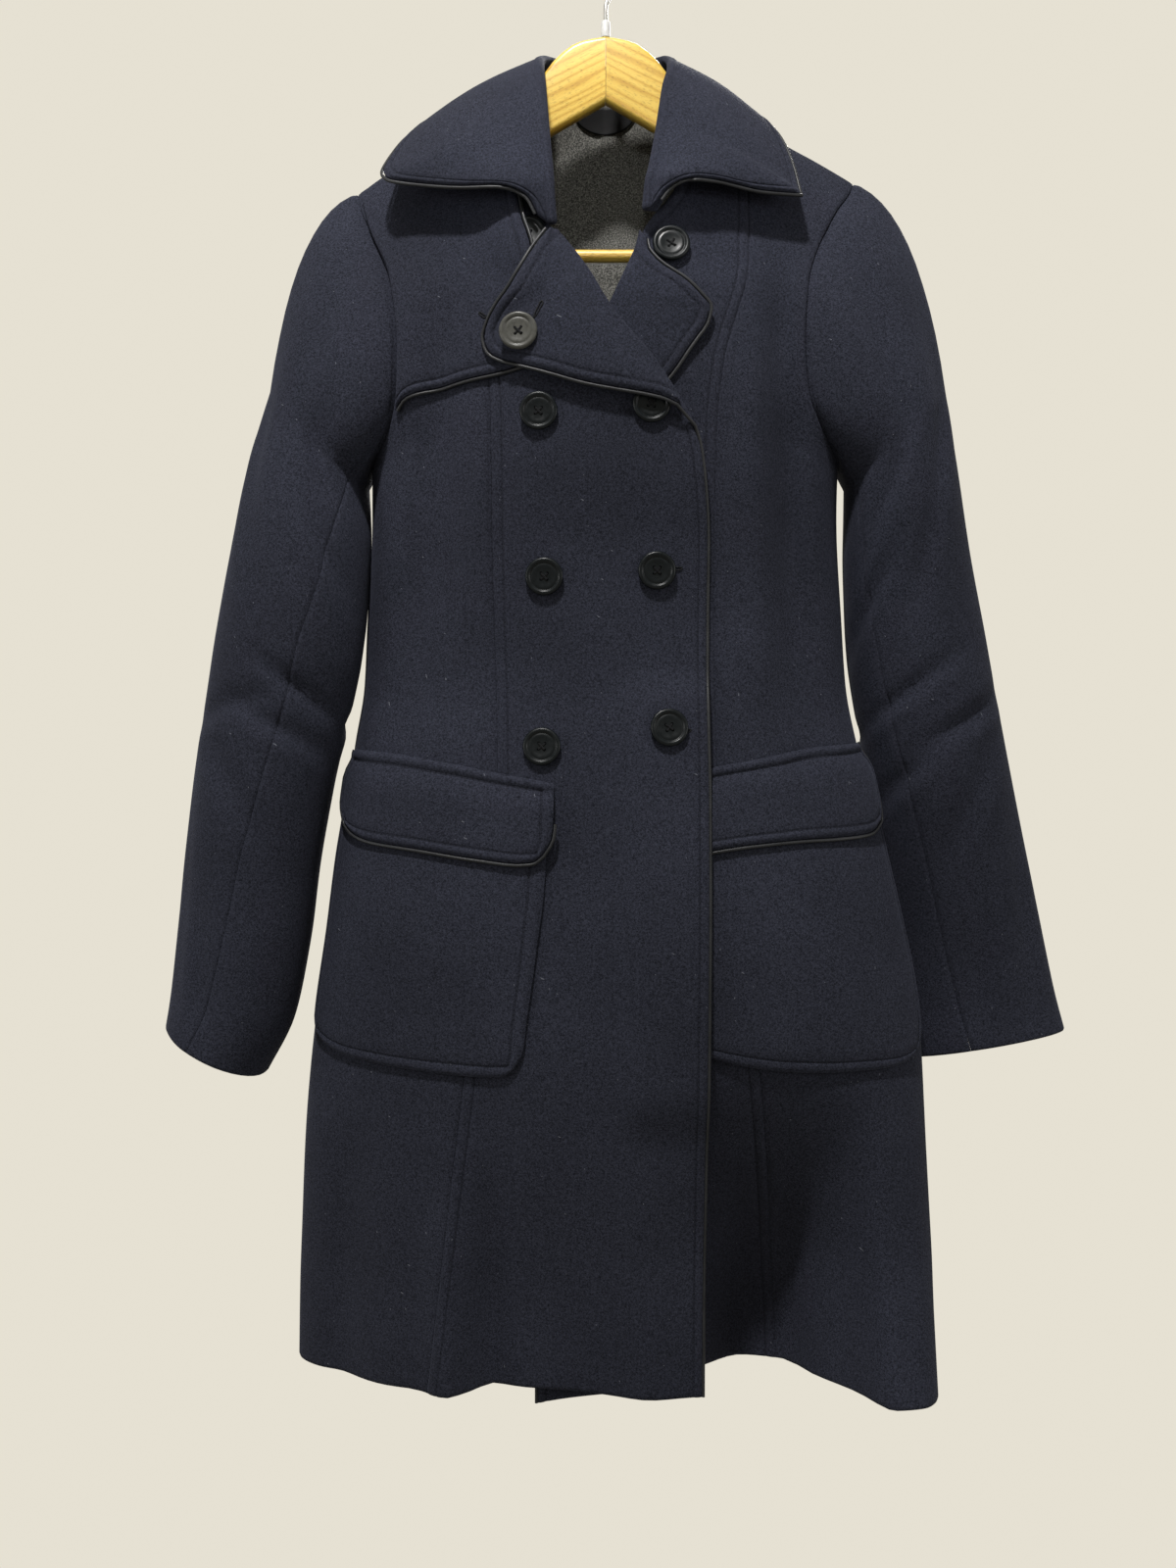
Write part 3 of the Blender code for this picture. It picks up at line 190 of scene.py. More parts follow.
CLOTH = 2.4  # melton, one layer
DOUBLE_CLOTH = 3.0  # collar and lapels, two layers pressed
PATCH_CLOTH = 2.2  # pockets, flaps and the storm flap
QUARTER_GIRTH = 270  # about the cloth from the middle of the front to the side seam
SEAM = 0.3  # gap between pieces that are sewn together
LAID = 0.7  # gap under a piece that is laid on another
POCKET_LAID = 1.2  # on the side's tighter curve
PIPING = 1.2  # radius
HEM = -1065
WAIST_ROW = -420  # below it every panel's rows are level
SHOULDER_FALL = 150  # how far below the shoulder the body reaches its full depth
ROUNDNESS = 0.66

# %% [markdown]
# ## Measured tables
# A garment is easiest to describe as a tailor does: a width and a depth at each height, then the
# seams drawn on top. Each row of a table is one measured place, and the curve between rows is
# smooth.

# %% Body sections
Section = namedtuple("Section", "z left right y_left y_right front back square")
BODY = [
    Section(-90, -201, 199, 0, 0, 57, 50, 2.4),
    Section(-225, -201, 199, 0, 0, 60, 51, 2.4),
    Section(-281, -198, 197, 0, 0, 70, 54, 2.4),
    Section(-340, -190, 188, 0, 0, 74, 55, 2.4),
    Section(-392, -177, 176, 0, 0, 73, 52, 2.3),
    Section(-430, -177, 175, 0, 0, 71, 48, 2.3),
    Section(-510, -181, 179, 0, 0, 66, 42, 2.3),
    Section(-556, -183, 182, 0, 0, 68, 43, 2.3),
    Section(-600, -190, 190, 0, -2, 73, 48, 2.3),
    Section(-652, -197, 203, 0, -4, 78, 53, 2.3),
    Section(-682, -202, 210, 0, -5, 80, 55, 2.3),
    Section(-737, -209, 222, 0, -9, 82, 58, 2.3),
    Section(-809, -220, 235, 0, -14, 80, 60, 2.3),
    Section(-884, -227, 237, 0, -23, 72, 66, 2.3),
    Section(-966, -231, 238, 2, -40, 58, 76, 2.3),
    Section(-1011, -233, 236, 4, -58, 50, 82, 2.3),
    Section(HEM, -234, 235, 5, -76, 45, 86, 2.3),
]

# %% Shoulder line
Shoulder = namedtuple("Shoulder", "x right left")
SHOULDER = [
    Shoulder(0, 5, 5),
    Shoulder(20, -14, -14),
    Shoulder(40, -44, -44),
    Shoulder(52, -75, -75),
    Shoulder(60, -97, -97),
    Shoulder(80, -110, -109),
    Shoulder(105, -125, -123),
    Shoulder(134, -145, -142),
    Shoulder(160, -162, -156),
    Shoulder(188, -180, -172),
    Shoulder(204, -192, -182),
]
NECK_X = 60
PRINCESS_X = 105
TIP_X = 188
TIP_Z = {"right": -180, "left": -172}

# %% The hem's folds, pushed out (-) or in (+)
Fold = namedtuple("Fold", "x push")
RIGHT_HEM = [
    Fold(-234, 0), Fold(-186, -6), Fold(-140, -12), Fold(-116, -24), Fold(-98, -8),
    Fold(-80, 12), Fold(-45, 11), Fold(21, 8), Fold(70, 17),
]
LEFT_HEM = [
    Fold(-50, 12), Fold(0, 20), Fold(40, 42), Fold(72, 72), Fold(104, 96), Fold(134, 90),
    Fold(152, 62), Fold(177, 32), Fold(200, -4), Fold(222, -5), Fold(235, 0),
]
FOLDS_BEGIN = -815

# %% Seams and edges, as height and distance from the middle
Seam = namedtuple("Seam", "z x")
PRINCESS = {
    "right": [
        Seam(-125, -105), Seam(-230, -96), Seam(-370, -83), Seam(-470, -82), Seam(-625, -78),
        Seam(-834, -101), Seam(-943, -114), Seam(HEM, -129),
    ],
    "left": [
        Seam(-123, 105), Seam(-250, 103), Seam(-327, 84), Seam(-374, 79), Seam(-480, 77),
        Seam(-600, 78), Seam(-834, 108), Seam(-1020, 127), Seam(HEM, 129),
    ],
}
# Neck seam, then the lapel's roll line, then the finished edge.
FRONT_EDGE = {
    "right": [
        Seam(-97, -60), Seam(-130, -62), Seam(-165, -60), Seam(-200, -53), Seam(-230, -39),
        Seam(-246, -26), Seam(-266, -13), Seam(-296, 5), Seam(-331, 34), Seam(-350, 47),
        Seam(-371, 60), Seam(-399, 67), Seam(-462, 71.8), Seam(-630, 71), Seam(-769, 70.4),
        Seam(-943, 68.8), Seam(HEM, 67.4),
    ],
    "left": [
        Seam(-97, 60), Seam(-130, 62), Seam(-165, 60), Seam(-200, 49), Seam(-226, 29),
        Seam(-243, 21), Seam(-263, 13), Seam(-287, 2), Seam(-343, -24), Seam(-375, -38),
        Seam(-400, -47.5), Seam(-430, -50), Seam(-600, -50), Seam(-1078, -50),
    ],
}
ARMHOLE_FRONT = {
    "right": [
        Seam(-180, 188), Seam(-193, 186), Seam(-217, 176), Seam(-241, 166), Seam(-260, 159),
        Seam(-304, 152.5), Seam(-344, 153.5), Seam(-365, 158), Seam(-380, 166), Seam(-392, 177),
    ],
    "left": [
        Seam(-172, 188), Seam(-182, 185), Seam(-199, 174), Seam(-216, 165), Seam(-238, 155),
        Seam(-262, 148), Seam(-307, 144.5), Seam(-344, 147.5), Seam(-368, 158), Seam(-392, 176),
    ],
}
ARMHOLE_BACK = [
    Seam(-172, 188), Seam(-182, 187), Seam(-225, 176), Seam(-281, 168), Seam(-340, 166),
    Seam(-375, 170), Seam(-392, 176.5),
]
BACK_NECK = [Seam(-90, 0), Seam(-90.5, 20), Seam(-92, 40), Seam(-97, 60)]
UNDERLAP_DROP = -13  # the under front's corner hangs lower than the hem

# %% Rows that the solids use
UPPER_ROWS = [0, 0.012, 0.04, 0.09, 0.165, 0.26, 0.35, 0.44, 0.53, 0.63, 0.75, 0.88, 1]
UNDERARM_ROW = 0.88
LEVEL_ROW = 11  # the rows above this one slope with the shoulder

# %% [markdown]
# ## Reading a table smoothly
# Straight lines between measured places would leave corners in the cloth. A monotone cubic passes
# through every place and never overshoots, so a seam doesn't swing out between two rows.

# %% A smooth curve through measured places
def through(knots, values, at):
    """Height at `at` of a smooth curve through the points; past its ends it stays level."""
    if at <= knots[0]:
        return values[0]
    if at >= knots[-1]:
        return values[-1]
    i = bisect_right(knots, at) - 1
    step = knots[i + 1] - knots[i]
    slope = (values[i + 1] - values[i]) / step

    def tangent(j):
        if j == 0 or j == len(knots) - 1:
            return slope
        before = (values[j] - values[j - 1]) / (knots[j] - knots[j - 1])
        after = (values[j + 1] - values[j]) / (knots[j + 1] - knots[j])
        if before * after <= 0:
            return 0.0
        return 2 * before * after / (before + after)

    s = (at - knots[i]) / step
    m0 = tangent(i) * step
    m1 = tangent(i + 1) * step
    rise = values[i + 1] - values[i]
    return values[i] + s * (m0 + s * (3 * rise - 2 * m0 - m1 + s * (m0 + m1 - 2 * rise)))


class Table:
    """Rows with named columns, read smoothly by their first column."""

    def __init__(self, rows):
        rows = sorted(rows)
        self.knots = [row[0] for row in rows]
        self.columns = {
            name: [getattr(row, name) for row in rows] for name in rows[0]._fields[1:]
        }

    def read(self, name, at):
        return through(self.knots, self.columns[name], at)


BODY_TABLE = Table(BODY)
SHOULDER_TABLE = Table(SHOULDER)
HEM_TABLE = {"right": Table(RIGHT_HEM), "left": Table(LEFT_HEM)}
SEAM_TABLES = {
    "princess": {side: Table(PRINCESS[side]) for side in PRINCESS},
    "edge": {side: Table(FRONT_EDGE[side]) for side in FRONT_EDGE},
    "armhole_front": {side: Table(ARMHOLE_FRONT[side]) for side in ARMHOLE_FRONT},
}
ARMHOLE_BACK_TABLE = Table(ARMHOLE_BACK)
BACK_NECK_TABLE = Table([namedtuple("Neck", "x z")(row.x, row.z) for row in BACK_NECK])
SIGN = {"right": -1, "left": 1}

# %% Easing between two values
def smooth(start, end, at):
    """0 before start, 1 after end, easing between; start may be the larger."""
    s = min(max((at - start) / (end - start), 0), 1)
    return s * s * (3 - 2 * s)


def lerp(start, end, s):
    return start + (end - start) * s

# %% [markdown]
# ## Soft folds
# A hanging coat is never quite flat. Long shallow valleys fall from the chest and from the
# pockets, and the whole cloth has a slow unevenness. They are added to the one surface that all
# the front pieces share, so a pocket or flap that lies on a fold follows it and nothing cuts
# through.

# %% Folds of the front and of the back
Drape = namedtuple("Drape", "x top low width depth lean")
FRONT_DRAPES = [
    Drape(-118, -262, -500, 15, 4.2, 0.03), Drape(-140, -330, -560, 9, 2.4, -0.02),
    Drape(-92, -330, -520, 11, -1.8, 0.02), Drape(122, -225, -470, 11, 4.6, -0.05),
    Drape(103, -300, -560, 9, -2.0, -0.03), Drape(140, -300, -560, 10, 2.4, 0.02),
    Drape(-150, -420, -640, 16, 2.2, 0.0), Drape(148, -430, -640, 16, 2.4, 0.04),
    Drape(-20, -620, -1065, 34, 1.8, 0.0), Drape(-150, -850, -1065, 22, -2.4, 0.05),
    Drape(-186, -850, -1065, 14, 2.2, 0.05), Drape(20, -860, -1065, 18, -2.0, -0.04),
    Drape(165, -840, -1000, 20, 2.6, 0.1), Drape(60, -430, -600, 16, 1.2, 0.0),
]
BACK_DRAPES = [
    Drape(-120, -190, -520, 16, 4.5, 0.05), Drape(124, -190, -520, 16, 4.5, -0.05),
    Drape(-70, -260, -460, 14, -2.5, 0.04), Drape(78, -280, -470, 14, -2.5, -0.03),
    Drape(-90, -560, -1065, 26, 5, -0.04), Drape(95, -580, -1065, 28, 5, 0.05),
    Drape(0, -460, -640, 22, 2.5, 0.0), Drape(-170, -620, -1065, 18, -3.5, 0.0),
    Drape(165, -600, -1065, 18, -3.5, 0.03), Drape(30, -760, -1065, 24, -4, 0.0),
]
UNEVEN = 0.55  # the slow unevenness, in millimetres
FOLD_DEPTH = 1.9  # the cloth's folds are this many times as deep as the table says
FOLD_START = 80  # millimetres over which a fold opens below its top


def draped(x, z, drapes):
    """How far the folds push the cloth inwards at x, z."""
    depth = UNEVEN * noise.noise(Vector((x / 38, z / 70, 3.7)))
    for row in drapes:
        away = (x - row.x - row.lean * (z - row.top)) / row.width
        if abs(away) < 3:
            ends = smooth(row.top, row.top - FOLD_START, z)
            if row.low > HEM:
                ends *= smooth(row.low - 45, row.low + 35, z)
            depth += row.depth * FOLD_DEPTH * math.exp(-(away**2)) * ends
    return depth


print("folds:", len(FRONT_DRAPES), "in front,", len(BACK_DRAPES), "behind")

# %% [markdown]
# ## The body's surface
# One surface carries the whole coat. Its a runs from -1 to 1 across the front and on to 3 round
# the back, its z is the height. Every panel and everything sewn on a panel is a patch of this
# surface lifted by a few millimetres, which is what keeps the layers in order.

# %% Across and round the body
def shoulder_height(x):
    return SHOULDER_TABLE.read("right" if x < 0 else "left", abs(x))


def across(z):
    """Middle and half width of the body at height z."""
    left = BODY_TABLE.read("left", z)
    right = BODY_TABLE.read("right", z)
    return (left + right) / 2, (right - left) / 2


def girth(x, z):
    """The a of the front point that stands at x."""
    middle, half = across(z)
    return 2 / math.pi * math.asin(min(max((x - middle) / half, -1), 1))

# %% A point of the surface
def body(a, z, layer="right"):
    """A point of the outer surface. layer picks the front whose folds it has."""
    middle, half = across(z)
    t = math.sin(math.pi / 2 * a)
    x = middle + half * t
    square = BODY_TABLE.read("square", z)
    bulge = max(1 - abs(t) ** square, 0) ** (1 / square)
    below = min(max(shoulder_height(x) - z, 0) / SHOULDER_FALL, 1)
    bulge *= (1 - (1 - below) ** 2) ** ROUNDNESS
    spine = lerp(BODY_TABLE.read("y_left", z), BODY_TABLE.read("y_right", z), (t + 1) / 2)
    clear = min(bulge * 1.6, 1)  # folds fade where the cloth turns over the side and shoulder
    if math.cos(math.pi / 2 * a) < 0:
        fold = draped(x, z, BACK_DRAPES) * clear
        return np.array([x, spine + BODY_TABLE.read("back", z) * bulge - fold, z])
    fold = draped(x, z, FRONT_DRAPES) * clear
    push = HEM_TABLE[layer].read("push", x) * smooth(FOLDS_BEGIN, HEM, z)
    return np.array([x, spine - BODY_TABLE.read("front", z) * bulge + push + fold, z])


def outward(a, z, layer="right"):
    """The surface's normal, turned straight up along the top of the shoulder."""
    da = 0.01
    dz = 1.0
    along = body(a + da, z, layer) - body(a - da, z, layer)
    up = body(a, z + dz, layer) - body(a, z - dz, layer)
    normal = np.cross(along, up)
    normal /= np.linalg.norm(normal)
    x = body(a, z, layer)[0]
    on_surface = smooth(0, 12, shoulder_height(x) - z) if abs(x) >= NECK_X - 3 else 1
    normal = lerp(np.array([0, 0, 1.0]), normal, on_surface)
    return normal / np.linalg.norm(normal)


def wall(a, z, layer, lift, thick):
    """Outer and inner point of cloth whose outer face is `lift` above the body."""
    point = body(a, z, layer)
    normal = outward(a, z, layer)
    return point + normal * lift, point + normal * (lift - thick)


def right_front_lift(x, z):
    """The right front lies over the left one, over its lapel and over its pocket and flap."""
    overlap = smooth(-86, -56, x) * smooth(-180, -300, z)
    on_lapel = smooth(-80, -40, x) * smooth(-225, -305, z) * smooth(-460, -405, z)
    on_pocket = smooth(4, 26, x) * smooth(-545, -577, z) * smooth(-890, -848, z)
    return 4.2 * overlap + 3.2 * on_lapel + 6.8 * on_pocket


def front_lift(side, x, z):
    """How far the front on this side stands off the body."""
    return right_front_lift(x, z) if side == "right" else 0

# %% [markdown]
# ## Weaving a sheet
# Each piece of cloth starts as one create_grid and one extrude_face_region, the outer and the
# inner face of a closed wall. The grid's lines aren't evenly spaced: they crowd along the edges,
# where the cloth rolls over, and along each row of stitches, where it is pulled in. Two attributes
# tell the material how far a point is from the nearest row of stitches and how far along it.

# %% Grid lines that crowd at the edges
SEWN_GAP = 0.06  # between panels here; the solids keep SEAM
ROLLED = [0, 0.5, 1.1, 1.9, 3.2]  # millimetres in from a plain edge
STITCH_EDGE = 6.6  # the row of stitches beside a piped or turned edge
STITCH_SEAM = 8.4  # the row beside a long seam
EDGE_DROP = 0.85  # how far the face rolls down at its very edge
EDGE_SOFT = 1.25
GROOVE = 0.75
GROOVE_SOFT = 0.8
PAD = 0.4  # the welt between an edge and its stitches stands up a little


def lines_beside(stitch):
    """Distances of the grid's lines from an edge, with three in the groove of its stitches."""
    if not stitch:
        return ROLLED
    close = [stitch - 1.7, stitch - 0.8, stitch, stitch + 0.8, stitch + 1.8]
    return ROLLED + [near for near in close if near > ROLLED[-1] + 0.6]


Rib = namedtuple("Rib", "share near far")


def ribs(count, near, far):
    """Grid lines from one edge to the other: crowded ends and `count` even steps between."""
    lines = [Rib(0, mm, 0) for mm in near]
    lines += [Rib(i / count, near[-1], far[-1]) for i in range(1, count)]
    return lines + [Rib(1, 0, mm) for mm in reversed(far)]


def reach(rib, width):
    """Where a grid line falls on a piece this wide; a narrow end squeezes its crowded lines."""
    tight = min(width / 24, 1)
    return rib.near * tight + (width - (rib.near + rib.far) * tight) * rib.share


# %% Seams, rolled edges and stitched grooves
def sewn(distances, stitches, runs):
    """Drop of the outer face, distance to the nearest stitches and place along them."""
    drop = 0.0
    nearest = 9.0
    along = 0.0
    for k in range(4):
        drop += EDGE_DROP * math.exp(-((distances[k] / EDGE_SOFT) ** 2))
        if not stitches[k] or any(
            stitches[m] and distances[m] < stitches[m] - 0.9 for m in range(4) if m != k
        ):
            continue
        off = distances[k] - stitches[k]
        drop += GROOVE * math.exp(-((off / GROOVE_SOFT) ** 2))
        if off < 0:
            drop -= PAD * math.sin(math.pi * min(distances[k] / stitches[k], 1)) ** 2
        if abs(off) < abs(nearest):
            nearest, along = off, runs[k]
    return drop, nearest, along


# %% Points along a curve
def even(count):
    return [i / count for i in range(count + 1)]


def arc(points):
    """The distance along a run of points, and the list of each coordinate."""
    points = [np.array(point, float) for point in points]
    reach = [0.0]
    for before, after in zip(points, points[1:]):
        reach.append(reach[-1] + float(np.linalg.norm(after - before)))
    return reach, [[float(point[k]) for point in points] for k in range(len(points[0]))]


def follow(points, s):
    """The point a fraction s along a smooth curve through the points."""
    reach, axes = arc(points)
    return np.array([through(reach, axis, reach[-1] * s) for axis in axes])


def resample(points, count):
    """Points spaced evenly along a smooth curve through the given ones, ends kept."""
    return [follow(points, s) for s in even(count)]


# %% Weave, thicken and finish one piece of cloth
collection = bpy.context.collection
MELTON, INSIDE = 0, 1


def finish_piece(name, bm, surfaces, nodes, slot, sharp=0):
    """Make the mesh an object that rides on the frame; edges over `sharp` degrees stay crisp."""
    mesh = bpy.data.meshes.new(name)
    bm.to_mesh(mesh)
    bm.free()
    mesh.shade_smooth()
    if sharp:
        mesh.set_sharp_from_angle(angle=math.radians(sharp))
    for surface in surfaces:
        mesh.materials.append(surface)
    piece = bpy.data.objects.new(name, mesh)
    collection.objects.link(piece)
    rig.ride(piece, "root")
    if nodes:
        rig.replaces(piece, *nodes)
    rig.slot(piece, slot)
    return piece


def weave(name, columns, rows, place, surfaces, nodes=None, slot="navy_melton"):
    """A closed sheet. place(column, row) gives outer, inner, off and along for its stitches."""
    bm = bmesh.new()
    off_layer = bm.verts.layers.float.new("stitch_off")
    along_layer = bm.verts.layers.float.new("stitch_along")
    across_count, down_count = len(columns) - 1, len(rows) - 1
    bmesh.ops.create_grid(bm, x_segments=across_count, y_segments=down_count, size=1)
    outer = list(bm.verts)
    made = bmesh.ops.extrude_face_region(bm, geom=bm.faces[:], use_keep_orig=True)
    inner = [item for item in made["geom"] if isinstance(item, bmesh.types.BMVert)]
    grid = {}
    for skin, verts in enumerate((outer, inner)):
        for vert in verts:
            i = round((vert.co.x + 1) / 2 * across_count)
            j = round((vert.co.y + 1) / 2 * down_count)
            if (i, j) not in grid:
                grid[i, j] = place(columns[i], rows[j])
            vert.co = grid[i, j][skin] * MM
            vert[off_layer] = grid[i, j][2] if skin == 0 else 9.0
            vert[along_layer] = grid[i, j][3]
    inside = set(inner)
    for face in bm.faces:
        face.material_index = INSIDE if all(v in inside for v in face.verts) else MELTON
    bmesh.ops.recalc_face_normals(bm, faces=bm.faces)
    if bm.calc_volume(signed=True) < 0:
        bmesh.ops.reverse_faces(bm, faces=bm.faces)
    piece = finish_piece("cloth_" + name, bm, surfaces, [name] if nodes is None else nodes, slot)
    print(piece.name, len(piece.data.polygons), "faces")
    return piece, grid


def wall_with_relief(outer, inner, distances, stitches, runs):
    """Lower the outer face by its grooves and rolled edges, and round the inner edge too."""
    drop, off, along = sewn(distances, stitches, runs)
    out = outer - inner
    thick = np.linalg.norm(out)
    out = out / thick
    inner_rise = 0.5 * sum(math.exp(-((d / 0.9) ** 2)) for d in distances)
    outer = outer - out * min(drop, thick * 0.45)
    inner = inner + out * min(inner_rise, thick * 0.3)
    return outer, inner, off, along

# %% [markdown]
# ## Wool melton
# Melton is felted until its weave is hidden, so it has no threads to draw: it is a matt, slightly
# mottled nap. Fine noise gives the nap, slow noise gives the handled look, and a few stretched
# cells give the stray pale fibres that dark wool picks up. The sheen on the shader's own socket
# lifts the edges as fuzz does. The stitch attributes bump a row of threads pulled into the cloth
# and darken the cloth along them with painted shade, the shade of their groove.

# %% A small kit for building materials
def new_material(name, roughness, metallic=0.0):
    made = bpy.data.materials.new(name)
    made.use_nodes = True
    tree = made.node_tree
    shader = tree.nodes["Principled BSDF"]
    shader.inputs["Roughness"].default_value = roughness
    shader.inputs["Metallic"].default_value = metallic
    return made, tree, shader


def node(tree, kind, **inputs):
    """Add a node and set or link its inputs; a key with underscores names a socket with spaces."""
    made = tree.nodes.new(kind)
    for key, value in inputs.items():
        numbered = key[1:].isdigit()
        socket = made.inputs[int(key[1:]) if numbered else key.replace("_", " ")]
        if isinstance(value, bpy.types.NodeSocket):
            tree.links.new(value, socket)
        else:
            socket.default_value = value
    return made


def maths(tree, operation, first, second=0.0, clamp=False):
    made = node(tree, "ShaderNodeMath", _0=first, _1=second)
    made.operation = operation
    made.use_clamp = clamp
    return made.outputs[0]


def ramp(tree, factor, *stops):
    """A colour ramp; each stop is a place and a grey or a colour."""
    made = node(tree, "ShaderNodeValToRGB", Fac=factor)
    while len(made.color_ramp.elements) < len(stops):
        made.color_ramp.elements.new(0.5)
    for element, (place, colour) in zip(made.color_ramp.elements, stops):
        element.position = place
        grey = isinstance(colour, (int, float))
        element.color = (colour, colour, colour, 1) if grey else (*colour, 1)
    return made.outputs["Color"]


def blend_colours(tree, factor, first, second, mode="MIX"):
    made = tree.nodes.new("ShaderNodeMix")
    made.data_type = "RGBA"
    made.blend_type = mode
    for number, value in ((0, factor), (6, first), (7, second)):
        socket = made.inputs[number]
        if isinstance(value, bpy.types.NodeSocket):
            tree.links.new(value, socket)
        elif isinstance(value, tuple):
            socket.default_value = (*value, 1)
        else:
            socket.default_value = value
    return made.outputs[2]


def object_place(tree, scale=(1, 1, 1), turn=(0, 0, 0)):
    """Object coordinates, first turned and then scaled; the unit is a metre."""
    place = tree.nodes.new("ShaderNodeTexCoord").outputs["Object"]
    turned = node(tree, "ShaderNodeMapping", Vector=place, Rotation=turn).outputs[0]
    return node(tree, "ShaderNodeMapping", Vector=turned, Scale=scale).outputs[0]


def speckle(tree, place, scale, detail=2.0, roughness=0.5):
    return node(
        tree, "ShaderNodeTexNoise", Vector=place, Scale=scale, Detail=detail, Roughness=roughness
    ).outputs["Fac"]


def bumped(tree, shader, height, distance, strength=1.0):
    bump = node(tree, "ShaderNodeBump", Height=height, Distance=distance, Strength=strength)
    tree.links.new(bump.outputs["Normal"], shader.inputs["Normal"])


# %% The coat's navy nap
STITCH_LENGTH = 3.4
THREAD_HALF = 0.3


def melton(name, dark, light, fuzz, lint):
    """Felted wool between two close colours, with sheen, stray fibres, stitches and painted shade along their grooves.
    """
    made, tree, shader = new_material(name, 0.92)
    place = object_place(tree)
    nap = speckle(tree, place, 1700, 3, 0.7)
    clumps = speckle(tree, place, 700, 3, 0.7)
    handled = speckle(tree, place, 9, 3, 0.5)
    mix = maths(tree, "MULTIPLY_ADD", nap, 0.5)
    tree.links.new(maths(tree, "MULTIPLY", clumps, 0.5), mix.node.inputs[2])
    colour = blend_colours(tree, ramp(tree, mix, (0.40, 0.0), (0.60, 1.0)), dark, light)
    worn = ramp(tree, handled, (0.3, 0.84), (0.7, 1.16))
    colour = blend_colours(tree, 1.0, colour, worn, "MULTIPLY")
    fibres = None
    for turn in ((0.3, 0.2, 0.5), (0.2, 1.1, 0.3), (1.0, 0.6, 1.4)):
        stretched = object_place(tree, (520, 900, 75), turn)
        cell = node(tree, "ShaderNodeTexVoronoi", Vector=stretched, Scale=1.0)
        near = maths(tree, "LESS_THAN", cell.outputs["Distance"], 0.17)
        chosen = node(tree, "ShaderNodeSeparateColor", Color=cell.outputs["Color"]).outputs[0]
        few = maths(tree, "GREATER_THAN", chosen, 1 - lint)
        fibre = maths(tree, "MULTIPLY", near, few)
        fibres = fibre if fibres is None else maths(tree, "MAXIMUM", fibres, fibre)
    colour = blend_colours(tree, maths(tree, "MULTIPLY", fibres, 0.5), colour, (0.09, 0.095, 0.11))
    off = node(tree, "ShaderNodeAttribute")
    off.attribute_name = "stitch_off"
    along = node(tree, "ShaderNodeAttribute")
    along.attribute_name = "stitch_along"
    beside = maths(tree, "ABSOLUTE", off.outputs["Fac"])
    turn = maths(tree, "FRACT", maths(tree, "DIVIDE", along.outputs["Fac"], STITCH_LENGTH))
    in_thread = maths(tree, "LESS_THAN", beside, THREAD_HALF)
    thread = maths(tree, "MULTIPLY", in_thread, maths(tree, "LESS_THAN", turn, 0.74))
    # Painted shade: the cloth darkens towards the stitch line, as the groove that the thread is pulled into would be
    # shaded.
    groove_shade = ramp(tree, beside, (0.1, 0.45), (1.0, 1.0))
    groove_shade.node.color_ramp.interpolation = "EASE"
    colour = blend_colours(tree, 1.0, colour, groove_shade, "MULTIPLY")
    colour = blend_colours(tree, thread, colour, tuple(v * 0.6 for v in light))
    tree.links.new(colour, shader.inputs["Base Color"])
    shader.inputs["Sheen Weight"].default_value = fuzz
    shader.inputs["Sheen Roughness"].default_value = 0.45
    shader.inputs["Sheen Tint"].default_value = (0.55, 0.6, 0.85, 1)
    shader.inputs["Specular IOR Level"].default_value = 0.04
    height = maths(tree, "MULTIPLY_ADD", mix, 1.0)
    tree.links.new(maths(tree, "MULTIPLY", thread, 0.9), height.node.inputs[2])
    bumped(tree, shader, height, 0.0005, 0.75)
    return made


navy = melton("navy_melton_nap", (0.0024, 0.0027, 0.0042), (0.0138, 0.0150, 0.0222), 0.02, 0.004)

# %% [markdown]
# ## The inside
# The inside of the cloth is an unlined charcoal heather: black and pale grey fibres carded
# together. The same kit makes it, with a wider spread between its dark and its light speckles.

# %% Charcoal heather
def heather(name):
    made, tree, shader = new_material(name, 0.95)
    place = object_place(tree)
    grain = speckle(tree, place, 950, 2, 0.75)
    flecks = ramp(
        tree, grain, (0.34, (0.013, 0.013, 0.0124)), (0.5, (0.040, 0.0395, 0.036)),
        (0.66, (0.100, 0.0985, 0.090)),
    )
    tree.links.new(flecks, shader.inputs["Base Color"])
    shader.inputs["Sheen Weight"].default_value = 0.02
    shader.inputs["Specular IOR Level"].default_value = 0.04
    bumped(tree, shader, grain, 0.0004, 0.6)
    return made


charcoal = heather("charcoal_heather")

# %% [markdown]
# ## Leather, buttons, wood and metal
# Piping leather is smooth and catches one bright line of light. Pressed buttons are dark
# blue-black with the faint haze of handling; the lapel's button is the same plastic painted
# grey, a painted highlight and reflection for the light that its face catches. The hanger is
# pale varnished wood: growth rings stretched along each arm, fine pores between them, and a
# thin clear coat.

# %% Piping leather
def piping_leather():
    made, tree, shader = new_material("piping_leather", 0.44)
    place = object_place(tree)
    grain = speckle(tree, place, 1800, 3, 0.6)
    tone = speckle(tree, place, 60, 2)
    colour = ramp(tree, tone, (0.3, (0.004, 0.0043, 0.005)), (0.7, (0.0085, 0.009, 0.010)))
    tree.links.new(colour, shader.inputs["Base Color"])
    tree.links.new(ramp(tree, grain, (0.3, 0.38), (0.7, 0.55)), shader.inputs["Roughness"])
    shader.inputs["Specular IOR Level"].default_value = 0.13
    bumped(tree, shader, grain, 0.0001, 0.5)
    return made


leather = piping_leather()


